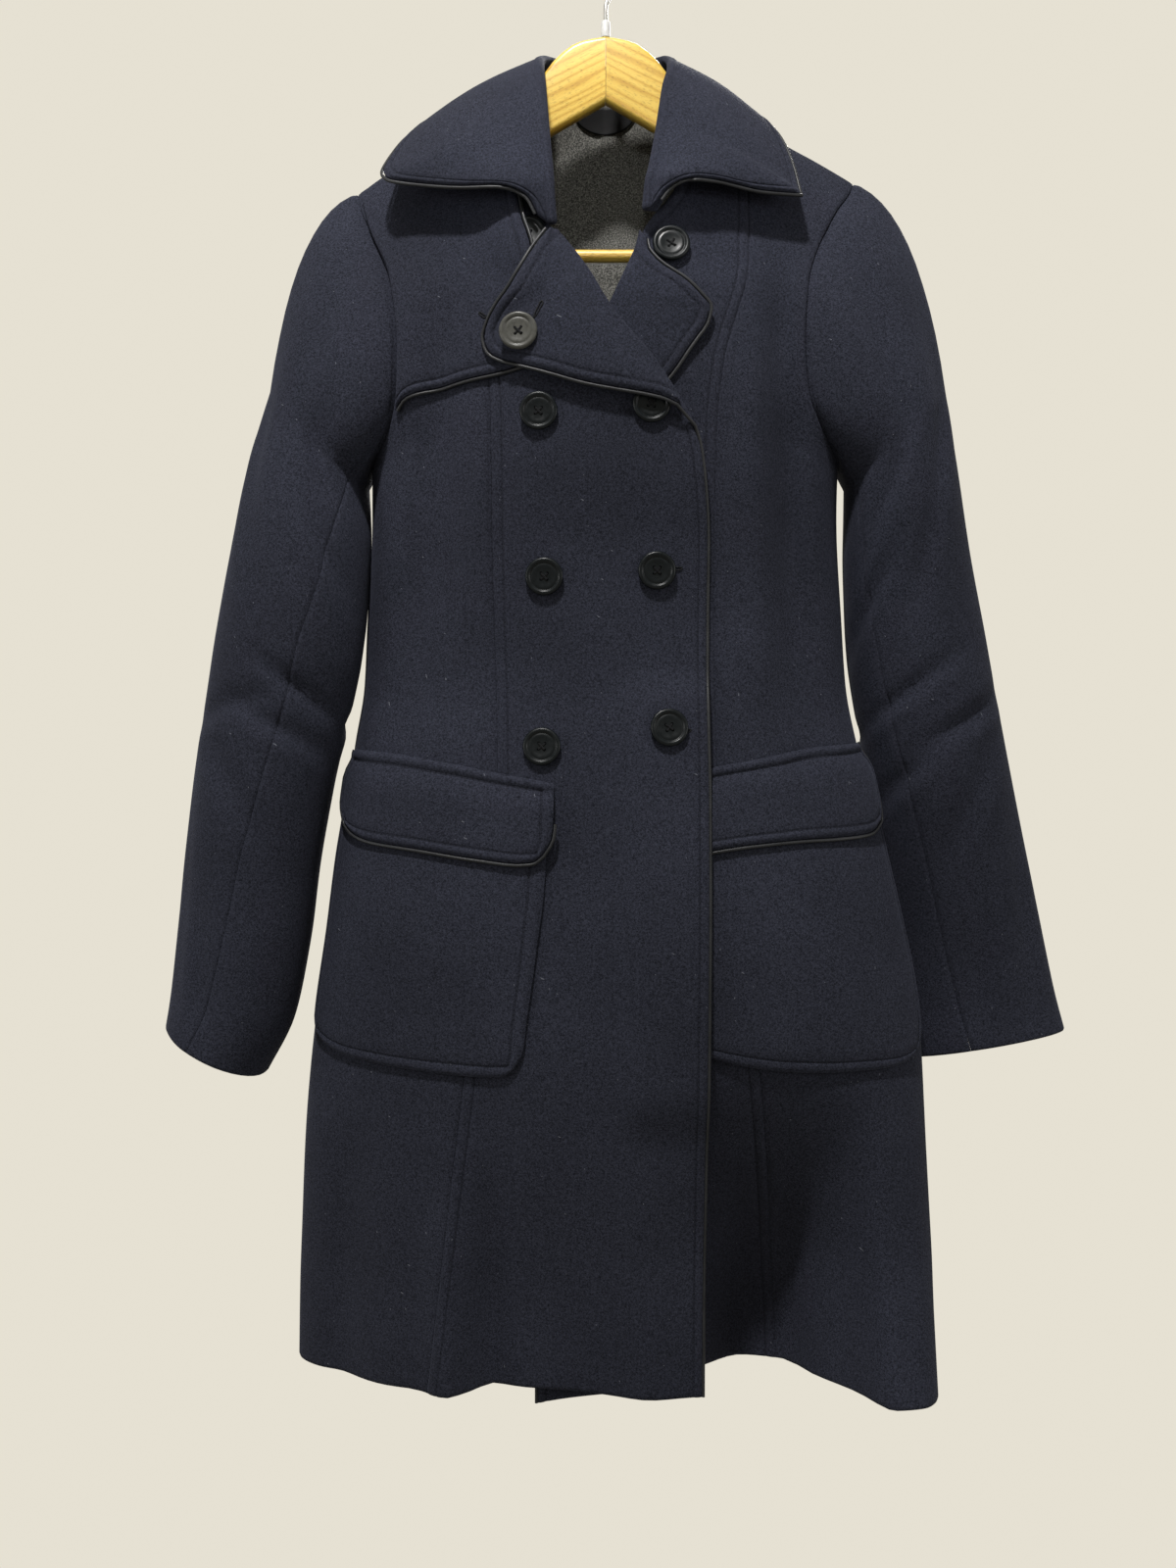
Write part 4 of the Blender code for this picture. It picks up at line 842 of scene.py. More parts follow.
# %% Pressed button plastic
def button_plastic(name, colour, roughness):
    made, tree, shader = new_material(name, roughness)
    place = object_place(tree)
    haze = speckle(tree, place, 260, 3, 0.6)
    dust = speckle(tree, place, 2200, 2, 0.6)
    dull, bright, dust_pale = (tuple(v * share for v in colour) for share in (0.7, 1.35, 6))
    shade = blend_colours(tree, haze, dull, bright)
    dusty = ramp(tree, dust, (0.66, 0.0), (0.74, 0.1))
    shade = blend_colours(tree, dusty, shade, dust_pale)
    tree.links.new(shade, shader.inputs["Base Color"])
    rough = ramp(tree, haze, (0.3, roughness - 0.07), (0.7, roughness + 0.1))
    tree.links.new(rough, shader.inputs["Roughness"])
    shader.inputs["Specular IOR Level"].default_value = 0.1
    bumped(tree, shader, dust, 0.00004, 0.4)
    return made


dark_plastic = button_plastic("button_blue_black", (0.0012, 0.0019, 0.0023), 0.36)
# The lapel's button: the same plastic painted much lighter, a painted highlight and reflection for the light that it
# catches.
lapel_painted_highlight_plastic = button_plastic("button_lapel_grey", (0.0240, 0.0240, 0.0215), 0.3)
thread_black = button_plastic("button_thread", (0.0022, 0.0024, 0.003), 0.8)


# %% Varnished wood
WOOD = ((0.290, 0.200, 0.036), (0.262, 0.170, 0.024), (0.215, 0.125, 0.015))  # early to late ring


def varnished_wood(name, turn, tone):
    """Grain along the piece: turn is its slope, tone its brightness."""
    made, tree, shader = new_material(name, 0.38)
    along = object_place(tree, (9, 70, 110), (0, turn, 0))
    warp = speckle(tree, along, 1.2, 3, 0.5)
    rings = node(tree, "ShaderNodeTexWave", Vector=along, Scale=0.45, Distortion=9.0, Detail=4.0)
    tree.links.new(maths(tree, "MULTIPLY_ADD", warp, 7.0), rings.inputs["Phase Offset"])
    rings.bands_direction = "Z"
    pores = speckle(tree, object_place(tree, (240, 1500, 1500), (0, turn, 0)), 1.0, 3, 0.7)
    pale, mid, deep = (tuple(v * tone for v in colour) for colour in WOOD)
    colour = ramp(tree, rings.outputs["Fac"], (0.0, pale), (0.75, mid), (1.0, deep))
    dark_pores = ramp(tree, pores, (0.36, 0.5), (0.45, 1.0))
    colour = blend_colours(tree, 1.0, colour, dark_pores, "MULTIPLY")
    tree.links.new(colour, shader.inputs["Base Color"])
    shader.inputs["Coat Weight"].default_value = 0.12
    shader.inputs["Coat Roughness"].default_value = 0.25
    shader.inputs["Specular IOR Level"].default_value = 0.2
    bumped(tree, shader, pores, 0.0001, 0.35)
    return made


ARM_SLOPE = math.radians(27)
wood = {
    "right": varnished_wood("wood_arm_right", ARM_SLOPE, 1.0),
    "left": varnished_wood("wood_arm_left", -ARM_SLOPE, 0.92),
    "bar": varnished_wood("wood_bar", 0, 1.05),
}


# %% Bright wire, white ferrule and black satin
def bright_wire():
    made, tree, shader = new_material("hook_wire", 0.24, 1.0)
    drawn = speckle(tree, object_place(tree, (300, 300, 40)), 3, 3)
    tree.links.new(ramp(tree, drawn, (0.3, 0.40), (0.7, 0.60)), shader.inputs["Base Color"])
    tree.links.new(ramp(tree, drawn, (0.3, 0.18), (0.7, 0.34)), shader.inputs["Roughness"])
    bumped(tree, shader, drawn, 0.00003, 0.3)
    return made


def woven_satin():
    """A label's close weave: two sets of fine threads that cross."""
    made, tree, shader = new_material("label_satin", 0.5)
    place = object_place(tree)
    warp = node(tree, "ShaderNodeTexWave", Vector=place, Scale=900.0)
    weft = node(tree, "ShaderNodeTexWave", Vector=place, Scale=900.0)
    weft.bands_direction = "Z"
    cloth = maths(tree, "MULTIPLY", warp.outputs["Fac"], weft.outputs["Fac"])
    colour = ramp(tree, cloth, (0.0, (0.0012, 0.0012, 0.0014)), (1.0, (0.005, 0.005, 0.0055)))
    tree.links.new(colour, shader.inputs["Base Color"])
    shader.inputs["Specular IOR Level"].default_value = 0.06
    bumped(tree, shader, cloth, 0.0001, 0.5)
    return made


wire = bright_wire()
white = button_plastic("ferrule_white", (0.2, 0.2, 0.195), 0.35)
satin = woven_satin()
SURFACES = [navy, charcoal]
print("materials:", len(bpy.data.materials))

# %% [markdown]
# ## The fronts
# Each front is two panels joined by a long princess seam from the shoulder. A maker cuts them with
# the seam's curve in both edges and topstitches the centre panel beside it. The grid follows the
# cut: its columns run from seam to seam, and its rows slope with the shoulder and are level below
# the waist.

# %% Rows and widths of a long panel
UPPER = 245  # from the shoulder to the waist row
LOWER = WAIST_ROW - HEM
FAR = 99.0


def panel_rows(cell):
    """Row places: 0 at the shoulder, 1 at the waist row, 2 at the hem."""
    rows = [mm / UPPER for mm in ROLLED]
    count = round(UPPER / cell)
    rows += [lerp(rows[-1], 1, i / count) for i in range(1, count + 1)]
    count = round(LOWER / cell)
    last = 2 - ROLLED[-1] / LOWER
    rows += [lerp(1, last, i / count) for i in range(1, count + 1)]
    return rows + [2 - mm / LOWER for mm in reversed(ROLLED[:-1])]


def panel_height(top, row, drop=0):
    if row <= 1:
        return lerp(top, WAIST_ROW, row)
    z = lerp(WAIST_ROW, HEM, row - 1)
    return z + drop * smooth(-900, HEM, z)


def slope_share(row):
    """How much a row still slopes with the shoulder."""
    index = np.interp(row, UPPER_ROWS, range(len(UPPER_ROWS)))
    return (1 - min(index / LEVEL_ROW, 1)) ** 2


def seam_girth(seam, side, z):
    """Where a seam crosses height z, in the body's a."""
    if seam == "side" and z <= lerp(TIP_Z[side], WAIST_ROW, UNDERARM_ROW):
        return float(SIGN[side])
    name = "armhole_front" if seam == "side" else seam
    x = SEAM_TABLES[name][side].read("x", z)
    return girth(SIGN[side] * x if seam == "side" else x, z)


# %% Front panels
CELL = 6.5
CORNER = 2.6  # how sharply the under front's corner turns down


def front_panel(name, side, seams, tops, stitches, count):
    """seams are the two edges, tops their x on the shoulder, stitches their rows' distances."""
    corners = [SIGN[side] * x for x in tops]
    heights = [shoulder_height(x) for x in corners]
    tops_a = [girth(corner, height) for corner, height in zip(corners, heights)]
    drops = [UNDERLAP_DROP if side == "left" and seam == "edge" else 0 for seam in seams]
    gap = 1 if corners[1] > corners[0] else -1

    @lru_cache(None)
    def ends(row):
        found = []
        for seam, top, drop in zip(seams, heights, drops):
            z = panel_height(top, row, drop)
            found.append(np.array([seam_girth(seam, side, z), z]))
        width = np.linalg.norm(body(*found[1], side) - body(*found[0], side))
        return found[0], found[1], float(width), slope_share(row)

    def place(rib, row):
        first, second, width, fade = ends(row)
        reached = reach(rib, width)
        u = reached / width
        a, z = lerp(first, second, u)
        z += (first[1] - second[1]) * (u - u**CORNER) if drops[1] else 0
        x_top = lerp(corners[0], corners[1], u)
        z_top = shoulder_height(x_top)
        a += (girth(x_top, z_top) - lerp(tops_a[0], tops_a[1], u)) * fade
        z += (z_top - lerp(heights[0], heights[1], u)) * fade
        if seams[1] != "edge" or u < 0.5:
            a += gap * SEWN_GAP / 2 / across(z)[1] * (1 - 2 * u)
        x = body(a, z)[0]
        outer, inner = wall(a, z, side, front_lift(side, x, z), CLOTH)
        shift = np.array([0, -SEWN_GAP / 2 if fade > 0 else 0, 0])
        distances = (reached, width - reached, row * UPPER if row < 1 else FAR, (2 - row) * LOWER)
        return wall_with_relief(
            outer + shift, inner + shift, distances, (*stitches, 0, 0), (z, z, x, x)
        )

    columns = ribs(count, lines_beside(stitches[0]), lines_beside(stitches[1]))
    return weave(name, columns, panel_rows(CELL), place, SURFACES)


FRONT_PANELS = (
    ("front_centre", ("princess", "edge"), (PRINCESS_X, NECK_X), (STITCH_SEAM, STITCH_EDGE), 22),
    ("front_side", ("side", "princess"), (TIP_X, PRINCESS_X), (0, 0), 20),
)
cloths = {}
grids = {}
for side in ("right", "left"):
    for part, seams, tops, stitches, count in FRONT_PANELS:
        name = f"{side}_{part}"
        cloths[name], grids[name] = front_panel(name, side, seams, tops, stitches, count)

# %% [markdown]
# ## The back
# Two halves meet at the centre back seam and hang from the hanger's arms. The back carries the
# deepest folds, because nothing is buttoned there. A narrow bound band covers the seam on the
# inside.

# %% Back panels
def behind(a, side):
    """The back's a for the point behind the front's a."""
    return 2 - a if side == "left" else -2 - a


PULLED = 30.0  # how far in from the side seam the back is drawn over to the front
TUCKED = 0.2  # how far its edge goes into the front's, so that no light shows


def ends_of(grid):
    """The last column and the last row of a grid."""
    return max(i for i, _ in grid), max(j for _, j in grid)


def back_panel(side):
    top_x, top_z = SIGN[side] * TIP_X, TIP_Z[side]
    low = lerp(top_z, WAIST_ROW, UNDERARM_ROW)
    straight = [girth(top_x, top_z), girth(across(BACK_NECK[0].z)[0], BACK_NECK[0].z)]

    @lru_cache(None)
    def ends(row):
        z_side = panel_height(top_z, row)
        a_side = float(SIGN[side])
        if z_side > low:
            a_side = girth(SIGN[side] * ARMHOLE_BACK_TABLE.read("x", z_side), z_side)
        z_spine = panel_height(BACK_NECK[0].z, row)
        a_spine = girth(across(z_spine)[0], z_spine)
        chord = body(behind(a_side, side), z_side) - body(behind(a_spine, side), z_spine)
        first, second = np.array([a_side, z_side]), np.array([a_spine, z_spine])
        return first, second, float(np.linalg.norm(chord)), slope_share(row)

    def bare(reached, row):
        first, second, width, fade = ends(row)
        u = reached / width
        a, z = lerp(first, second, u)
        x_top = top_x * (1 - u)
        on_arm = abs(x_top) >= NECK_X
        z_top = shoulder_height(x_top) if on_arm else BACK_NECK_TABLE.read("z", abs(x_top))
        a += (girth(x_top, z_top) - lerp(straight[0], straight[1], u)) * fade
        z += (z_top - lerp(top_z, BACK_NECK[0].z, u)) * fade
        a -= SIGN[side] * SEWN_GAP / 2 / across(z)[1] * (1 - 2 * u)
        outer, inner = wall(behind(a, side), z, side, 0, CLOTH)
        shift = np.array([0, SEWN_GAP / 2 if fade > 0 else 0, 0])
        return outer + shift, inner + shift, z

    front = grids[side + "_front_side"]
    front_edge = np.array([front[0, j][1] for j in range(ends_of(front)[1], -1, -1)])

    @lru_cache(None)
    def to_front(row):
        """How far the side edge comes over to meet the front's, below the armhole."""
        inner = bare(0, row)[1]
        if inner[2] > low - 8:
            return np.zeros(3)
        met = [np.interp(inner[2], front_edge[:, 2], front_edge[:, k]) for k in range(2)]
        return np.array([met[0] - inner[0], met[1] - inner[1] - TUCKED, 0])

    def place(rib, row):
        width = ends(row)[2]
        reached = reach(rib, width)
        outer, inner, z = bare(reached, row)
        pull = to_front(row) * max(1 - reached / PULLED, 0)
        distances = (reached, width - reached, row * UPPER if row < 1 else FAR, (2 - row) * LOWER)
        return wall_with_relief(
            outer + pull, inner + pull, distances, (0, 0, 0, 0), (z, z, 0, 0)
        )

    # A column stands where the shoulder meets the neck, so that corner is kept.
    corner = 1 - NECK_X / TIP_X
    columns = [Rib(0, mm, 0) for mm in ROLLED]
    columns += [Rib(lerp(0, corner, i / 18), ROLLED[-1], ROLLED[-1]) for i in range(1, 19)]
    columns += [Rib(lerp(corner, 1, i / 9), ROLLED[-1], ROLLED[-1]) for i in range(1, 9)]
    columns += [Rib(1, 0, mm) for mm in reversed(ROLLED)]
    return weave(f"back_{side}", columns, panel_rows(7.5), place, SURFACES)


for side in ("right", "left"):
    cloths["back_" + side], grids["back_" + side] = back_panel(side)


# %% The bound band over the centre back seam
BAND_THICK = 0.9
BAND = (-3.6, 9.9)  # its two edges, either side of the middle
BAND_ENDS = (-97.5, HEM + 22)


def seam_band(rib, row):
    z = lerp(*BAND_ENDS, row)
    width = BAND[1] - BAND[0]
    reached = reach(rib, width)
    x = BAND[0] + reached + 0.4 * noise.noise(Vector((0, 0, z / 60)))
    outer, inner = wall(2 - girth(x, z), z, "left", -CLOTH - 0.35, BAND_THICK)
    distances = (reached, width - reached, FAR, FAR)
    inner, outer, off, along = wall_with_relief(
        inner, outer, distances, (1.6, 1.6, 0, 0), (z, z, 0, 0)
    )
    return outer, inner, off, along


BAND_LINES = [0, 0.8, 1.6, 2.4]
band = weave(
    "centre_back_band", ribs(2, BAND_LINES, BAND_LINES), even(110), seam_band,
    [charcoal, charcoal], [],
)[0]

# %% [markdown]
# ## The sleeves
# Each sleeve is cut in two pieces, a top and an under sleeve, and set into the armhole with its
# cap eased in. Hung without an arm, a sleeve swings out and breaks into soft creases at the elbow
# and under the cap. The creases are dents of one tube that both pieces share, so the seams stay
# closed.

# %% Sleeve shape
Ring = namedtuple("Ring", "out_x out_y out_z in_x in_y in_z deep")
SLEEVES = {
    "right": [
        Ring(-252, 0, -334, -181, -8, -407, 50),
        Ring(-266, -5, -392, -178, -24, -450, 50),
        Ring(-279, -8, -455, -179, -30, -494, 48),
        Ring(-290, -10, -515, -183, -32, -538, 47),
        Ring(-299, -12, -570, -193, -26, -584, 46),
        Ring(-307, -12, -622, -204, -26, -632, 46),
        Ring(-313.5, -12, -680, -214, -26, -688, 45),
        Ring(-319, -12, -738, -221.5, -26, -748, 44),
        Ring(-323.5, -12, -780, -233, -26, -802, 42),
        Ring(-326, -12, -808, -255, -28, -846, 41),
    ],
    "left": [
        Ring(257, 0, -334, 182, 0, -406, 48),
        Ring(268, 5, -392, 182, 4, -448, 48),
        Ring(279, 8, -455, 183.5, 12, -492, 47),
        Ring(291, 10, -515, 187, 16, -538, 46),
        Ring(301.5, 12, -570, 195, 20, -586, 46),
        Ring(312, 14, -622, 204, 24, -636, 44),
        Ring(324, 16, -680, 214, 28, -692, 40),
        Ring(336, 16, -738, 223, 30, -750, 35),
        Ring(346, 16, -786, 231, 30, -802, 30),
        Ring(354, 14, -819, 237, 28, -842, 27),
    ],
}
CAP_PUFF = (16, 63)  # how far the cap's top stands out and up from a straight line
CAP_DEPTH = 11
UNDERARM_EASE = 1.6  # the sleeve starts this far outside the armhole's lowest point
BACK_SLEEVE_SEAM = 0.80  # share of the way round, from the top over the front
# The front sleeve seam's share of the way round, down the sleeve's rings.
FRONT_SLEEVE_SEAM = {
    "right": [0.42, 0.41, 0.38, 0.35, 0.32, 0.305, 0.29, 0.27, 0.25, 0.235, 0.228],
    "left": [0.43, 0.42, 0.40, 0.38, 0.36, 0.35, 0.335, 0.32, 0.31, 0.30, 0.29],
}

def armhole_place(side, turn):
    """The body's a and z on the armhole; turn is 0 at the shoulder, 0.25 in front, 0.5 below."""
    turn %= 1
    in_front = turn <= 0.5
    share = 2 * turn if in_front else 2 - 2 * turn
    low = lerp(TIP_Z[side], WAIST_ROW, UNDERARM_ROW)
    z = lerp(TIP_Z[side], low, (1 - math.cos(math.pi * share)) / 2)
    if share > 0.999:
        return float(SIGN[side]), z
    if in_front:
        return girth(SIGN[side] * SEAM_TABLES["armhole_front"][side].read("x", z), z), z
    a = girth(SIGN[side] * ARMHOLE_BACK_TABLE.read("x", z), z)
    return 2 * SIGN[side] - a, z


def armhole_point(side, turn):
    return body(*armhole_place(side, turn))


def ring_point(ring, turn, side):
    out = np.array([ring.out_x, ring.out_y, ring.out_z], float)
    inside = np.array([ring.in_x, ring.in_y, ring.in_z], float)
    long = (out - inside) / 2
    front = np.cross(long, [0, 0, 1]) * SIGN[side]
    front *= ring.deep / np.linalg.norm(front)
    angle = 2 * math.pi * turn
    return (out + inside) / 2 + long * math.cos(angle) + front * math.sin(angle)


def sleeve_point(side, turn, down):
    """down runs 0 at the armhole, 1 at the first ring, and 1 more for each ring below."""
    turn %= 1
    rings = SLEEVES[side]
    if down >= 1:
        knots = list(range(1, len(rings) + 1))
        read = [through(knots, [row[k] for row in rings], down) for k in range(len(Ring._fields))]
        return ring_point(Ring(*read), turn, side)
    start = armhole_point(side, turn)
    start[0] += SIGN[side] * UNDERARM_EASE * ((1 - math.cos(2 * math.pi * turn)) / 2) ** 2
    end = ring_point(rings[0], turn, side)
    top = ((1 + math.cos(2 * math.pi * turn)) / 2) ** 2
    bend = np.array([SIGN[side] * CAP_PUFF[0] * top, 0, CAP_PUFF[1] * top])
    bend[1] = -CAP_DEPTH * math.sin(2 * math.pi * turn)
    control = (start + end) / 2 + bend
    s = down
    return start * (1 - s) ** 2 + control * 2 * s * (1 - s) + end * s**2

# %% Creases of an empty sleeve
# turn and down are the middle, reach and width its half sizes in mm, slant its slope in degrees.
Crease = namedtuple("Crease", "turn down slant reach width depth")
CREASES = {
    "right": [
        Crease(0.20, 0.55, 62, 38, 6, 1.8), Crease(0.30, 1.1, 70, 46, 7, 2.2),
        Crease(0.12, 1.6, 80, 60, 9, 2.2), Crease(0.36, 2.4, 60, 44, 8, 2.4),
        Crease(0.22, 3.4, 75, 70, 9, 1.6), Crease(0.33, 4.6, 38, 34, 6, 3.2),
        Crease(0.30, 5.2, 30, 36, 7, 3.0), Crease(0.16, 5.0, -28, 38, 8, 2.4),
        Crease(0.24, 6.2, 55, 48, 8, 2.0), Crease(0.10, 7.4, 84, 80, 10, 1.8),
        Crease(0.20, 8.4, 80, 60, 9, 1.6), Crease(0.93, 3.2, 86, 90, 11, 2.0),
        Crease(0.70, 2.2, 80, 70, 9, 2.6), Crease(0.62, 4.8, -30, 40, 8, 2.8),
        Crease(0.78, 5.6, 26, 40, 8, 2.4), Crease(0.70, 7.5, 86, 80, 11, 2.2),
    ],
    "left": [
        Crease(0.20, 0.5, 66, 40, 6, 2.0), Crease(0.12, 1.3, 72, 58, 8, 2.6),
        Crease(0.30, 1.5, 64, 52, 7, 2.4), Crease(0.22, 2.7, 74, 60, 8, 1.8),
        Crease(0.38, 3.2, 60, 40, 7, 2.2), Crease(0.30, 4.6, 34, 38, 6, 3.0),
        Crease(0.16, 5.1, 26, 42, 7, 3.2), Crease(0.33, 5.8, 40, 36, 7, 2.6),
        Crease(0.20, 6.3, 62, 50, 8, 2.2), Crease(0.10, 7.6, 84, 76, 9, 2.2),
        Crease(0.24, 8.4, 82, 60, 8, 1.8), Crease(0.93, 3.2, 86, 90, 11, 2.0),
        Crease(0.70, 2.2, 80, 70, 9, 2.6), Crease(0.62, 4.8, -30, 40, 8, 2.6),
        Crease(0.78, 5.6, 26, 40, 8, 2.2), Crease(0.70, 7.5, 86, 80, 10, 2.0),
    ],
}
CREASE_DEPTH = 1.5
SLEEVE_ROUND = 290  # millimetres round a sleeve
RING_STEP = 58  # and between two rings
SLEEVE_GAP = 0.0001  # share of the way round between the two pieces


def creased(side, turn, down):
    """How far the creases push the cloth in."""
    depth = 0.5 * noise.noise(Vector((turn * 9, down * 0.9, 11 + SIGN[side])))
    for row in CREASES[side]:
        around = ((turn - row.turn + 0.5) % 1 - 0.5) * SLEEVE_ROUND
        along = (down - row.down) * RING_STEP
        slant = math.radians(row.slant)
        run = around * math.cos(slant) + along * math.sin(slant)
        off = along * math.cos(slant) - around * math.sin(slant)
        if abs(run) < 2.5 * row.reach and abs(off) < 3 * row.width:
            beyond = (off - 1.9 * row.width) / row.width
            shape = math.exp(-((off / row.width) ** 2)) - 0.35 * math.exp(-(beyond**2))
            depth += row.depth * CREASE_DEPTH * shape * math.exp(-((run / row.reach) ** 2))
    side_on = abs((turn + 0.5) % 1 - 0.5)  # creases fade at the outline, where they would notch it
    return max(depth * lerp(0.15, 1, smooth(0.02, 0.13, side_on)), -0.6)


# %% The two pieces of each sleeve
def sleeve_wall(side, turn, down):
    most = len(SLEEVES[side])
    low, high = max(down - 0.05, 0.0), min(down + 0.05, most)
    along = sleeve_point(side, turn, high) - sleeve_point(side, turn, low)
    around = sleeve_point(side, turn + 0.01, down) - sleeve_point(side, turn - 0.01, down)
    normal = np.cross(around, along) * SIGN[side]
    normal /= np.linalg.norm(normal)
    point = sleeve_point(side, turn, down) - normal * creased(side, turn, down)
    return point, point - normal * CLOTH


# The cap's seam allowance, turned under the body: how far along it, how deep, how thick.
Turned_in = namedtuple("Turned_in", "row inward under thick")
ALLOWANCE = [
    Turned_in(-3, 3.0, CLOTH + 0.35, 0.8), Turned_in(-2, 0.8, CLOTH + 0.3, 0.8),
    Turned_in(-1, -0.5, 1.9, 1.0),
]


def allowance(side, turn, row):
    """A point of the allowance, under the edge of the body beside the armhole."""
    start = armhole_point(side, turn)
    along = armhole_point(side, turn + 0.01) - armhole_point(side, turn - 0.01)
    up = outward(*armhole_place(side, turn))
    inward = np.cross(along, up) * SIGN[side]
    inward /= np.linalg.norm(inward)
    outer = start + inward * row.inward - up * row.under
    return outer, outer - up * row.thick, 9.0, 0.0


def sleeve_panel(name, side, upper, count):
    most = len(SLEEVES[side])
    last = most - ROLLED[-1] / RING_STEP
    rows = [row.row for row in ALLOWANCE] + [0.02 + mm / 70 for mm in ROLLED]
    rows += [lerp(rows[-1], 1, i / 11) for i in range(1, 12)]
    rows += [lerp(1, last, i / 84) for i in range(1, 85)]
    rows += [most - mm / RING_STEP for mm in reversed(ROLLED[:-1])]
    seam = FRONT_SLEEVE_SEAM[side]
    knots = list(range(len(seam)))

    def place(rib, down):
        front = through(knots, seam, down)
        start, end = (BACK_SLEEVE_SEAM - 1, front) if upper else (front, BACK_SLEEVE_SEAM)
        start, end = start + SLEEVE_GAP, end - SLEEVE_GAP
        width = (end - start) * SLEEVE_ROUND
        reached = reach(rib, width)
        turn = lerp(start, end, reached / width)
        if down < 0:
            return allowance(side, turn, ALLOWANCE[round(down) + 3])
        outer, inner = sleeve_wall(side, turn, down)
        distances = (
            reached, width - reached, (down - 0.02) * RING_STEP, (most - down) * RING_STEP,
        )
        return wall_with_relief(outer, inner, distances, (0, 0, 0, 0), (0, 0, 0, 0))

    return weave(name, ribs(count, ROLLED, ROLLED), rows, place, SURFACES)


for side in ("right", "left"):
    for part, upper, count in (("sleeve_top", True, 26), ("sleeve_under", False, 20)):
        name = f"{side}_{part}"
        cloths[name], grids[name] = sleeve_panel(name, side, upper, count)

# %% [markdown]
# ## Lapels
# A lapel is the front's own facing, turned out along the roll line and pressed. Its height over
# the chest is a table: nearly flat at the roll, standing off the cloth towards its tip.

# %% Lapel outlines and heights
Lift = namedtuple("Lift", "v roll near far edge")
Lapel = namedtuple("Lapel", "roll top_edge low_edge lifts columns")
LAPELS = {
    "right": Lapel(
        [(-36, -232), (-26, -246), (-13, -266), (5, -296), (34, -331), (47, -350), (50.5, -355)],
        [(-40.5, -236), (-47.5, -248), (-58, -267.4), (-70.5, -286), (-81.6, -299.4), (-86, -312)],
        [
            (-86, -312), (-84.4, -320), (-77, -327), (-60, -333.5), (-38.5, -340), (-17.6, -346),
            (4, -350.2), (25.2, -353.7), (40.2, -357), (49, -361),
        ],
        [
            Lift(0, 1.7, 3.5, 8.5, 10), Lift(0.14, 2, 7, 11, 12), Lift(0.25, 2, 6.5, 10, 11),
            Lift(0.38, 2, 6, 5, 4), Lift(0.7, 2, 5.5, 6.5, 5.8), Lift(0.9, 1.5, 5, 6, 6),
            Lift(1, 0.9, 3, 5, 5.5),
        ],
        18,
    ),
    "left": Lapel(
        [(23.5, -232), (21, -243), (13, -263), (2, -287), (-24, -343), (-38, -375), (-44, -392)],
        [(27.5, -238), (28.5, -246), (38.3, -259.7), (55, -272), (66, -283), (72, -291)],
        [
            (72, -291), (72, -295), (70.4, -300), (59, -317), (44, -339), (20, -362), (-10, -384),
            (-41, -398),
        ],
        [
            Lift(0, 0.8, 1.5, 2, 2), Lift(0.15, 0.8, 3, 4, 4), Lift(0.32, 0.8, 2, 4.5, 5),
            Lift(0.5, 0.8, 0.8, 1, 2.2), Lift(0.62, 0.8, 0.8, 0.8, 0.8),
            Lift(1, 0.8, 0.8, 0.8, 0.8),
        ],
        14,
    ),
}
TIP_SHARE = 0.38  # of the way down the roll, opposite the lapel's tip
LAPEL_LENGTH = 165

# %% Sew the lapels
def path_table(roll, top_edge, low_edge):
    """Both edges of a lapel as smooth functions of v."""
    outer = [follow(top_edge, s / 8) for s in range(8)]
    outer += [follow(low_edge, s) for s in even(14)]
    shares = [TIP_SHARE * i / 8 for i in range(8)] + [lerp(TIP_SHARE, 1, s) for s in even(14)]
    axes = [[float(point[k]) for point in outer] for k in range(2)]

    def edge(v):
        return np.array([through(shares, axis, v) for axis in axes])

    return lambda v: follow(roll, v), edge


def lapel(side, shape):
    roll_at, edge_at = path_table(shape.roll, shape.top_edge, shape.low_edge)
    table = Table(shape.lifts)

    @lru_cache(None)
    def ends(v):
        inner, outer = roll_at(v), edge_at(v)
        before, after = edge_at(max(v - 0.015, 0)), edge_at(min(v + 0.015, 1))
        across_row = outer - inner
        width = float(np.linalg.norm(across_row))
        along = after - before
        cross = abs(across_row[0] * along[1] - across_row[1] * along[0])
        sine = max(cross / (width * np.linalg.norm(along) + 1e-9), 0.45)
        return inner, outer, width * sine, [table.read(key, v) for key in Lift._fields[1:]]

    def place(rib, v):
        inner, outer, width, heights = ends(v)
        reached = reach(rib, width)
        u = reached / width
        x, z = lerp(inner, outer, u)
        height = front_lift(side, x, z) + through([0, 0.35, 0.7, 1], heights, u) + DOUBLE_CLOTH
        face, back = wall(girth(x, z), z, side, height, DOUBLE_CLOTH)
        distances = (FAR, width - reached, v * LAPEL_LENGTH, (1 - v) * LAPEL_LENGTH)
        runs = (0, v * LAPEL_LENGTH, 0, 0)
        return wall_with_relief(face, back, distances, (0, STITCH_EDGE, 0, 0), runs)

    rows = sorted({*even(54), TIP_SHARE, 0.004, 0.01, 0.99, 0.996})
    columns = ribs(shape.columns, [0, 1.2, 2.6], lines_beside(STITCH_EDGE))
    return weave(side + "_lapel", columns, rows, place, [navy, navy]), rows


lapel_rows = {}
for side, shape in LAPELS.items():
    name = side + "_lapel"
    (cloths[name], grids[name]), lapel_rows[side] = lapel(side, shape)

# %% [markdown]
# ## Storm flap, pockets and flaps
# These are cut from one layer, turned in and laid on the front. Each one is a patch between four
# drawn edges, and its rows of stitches run a fixed distance inside them.

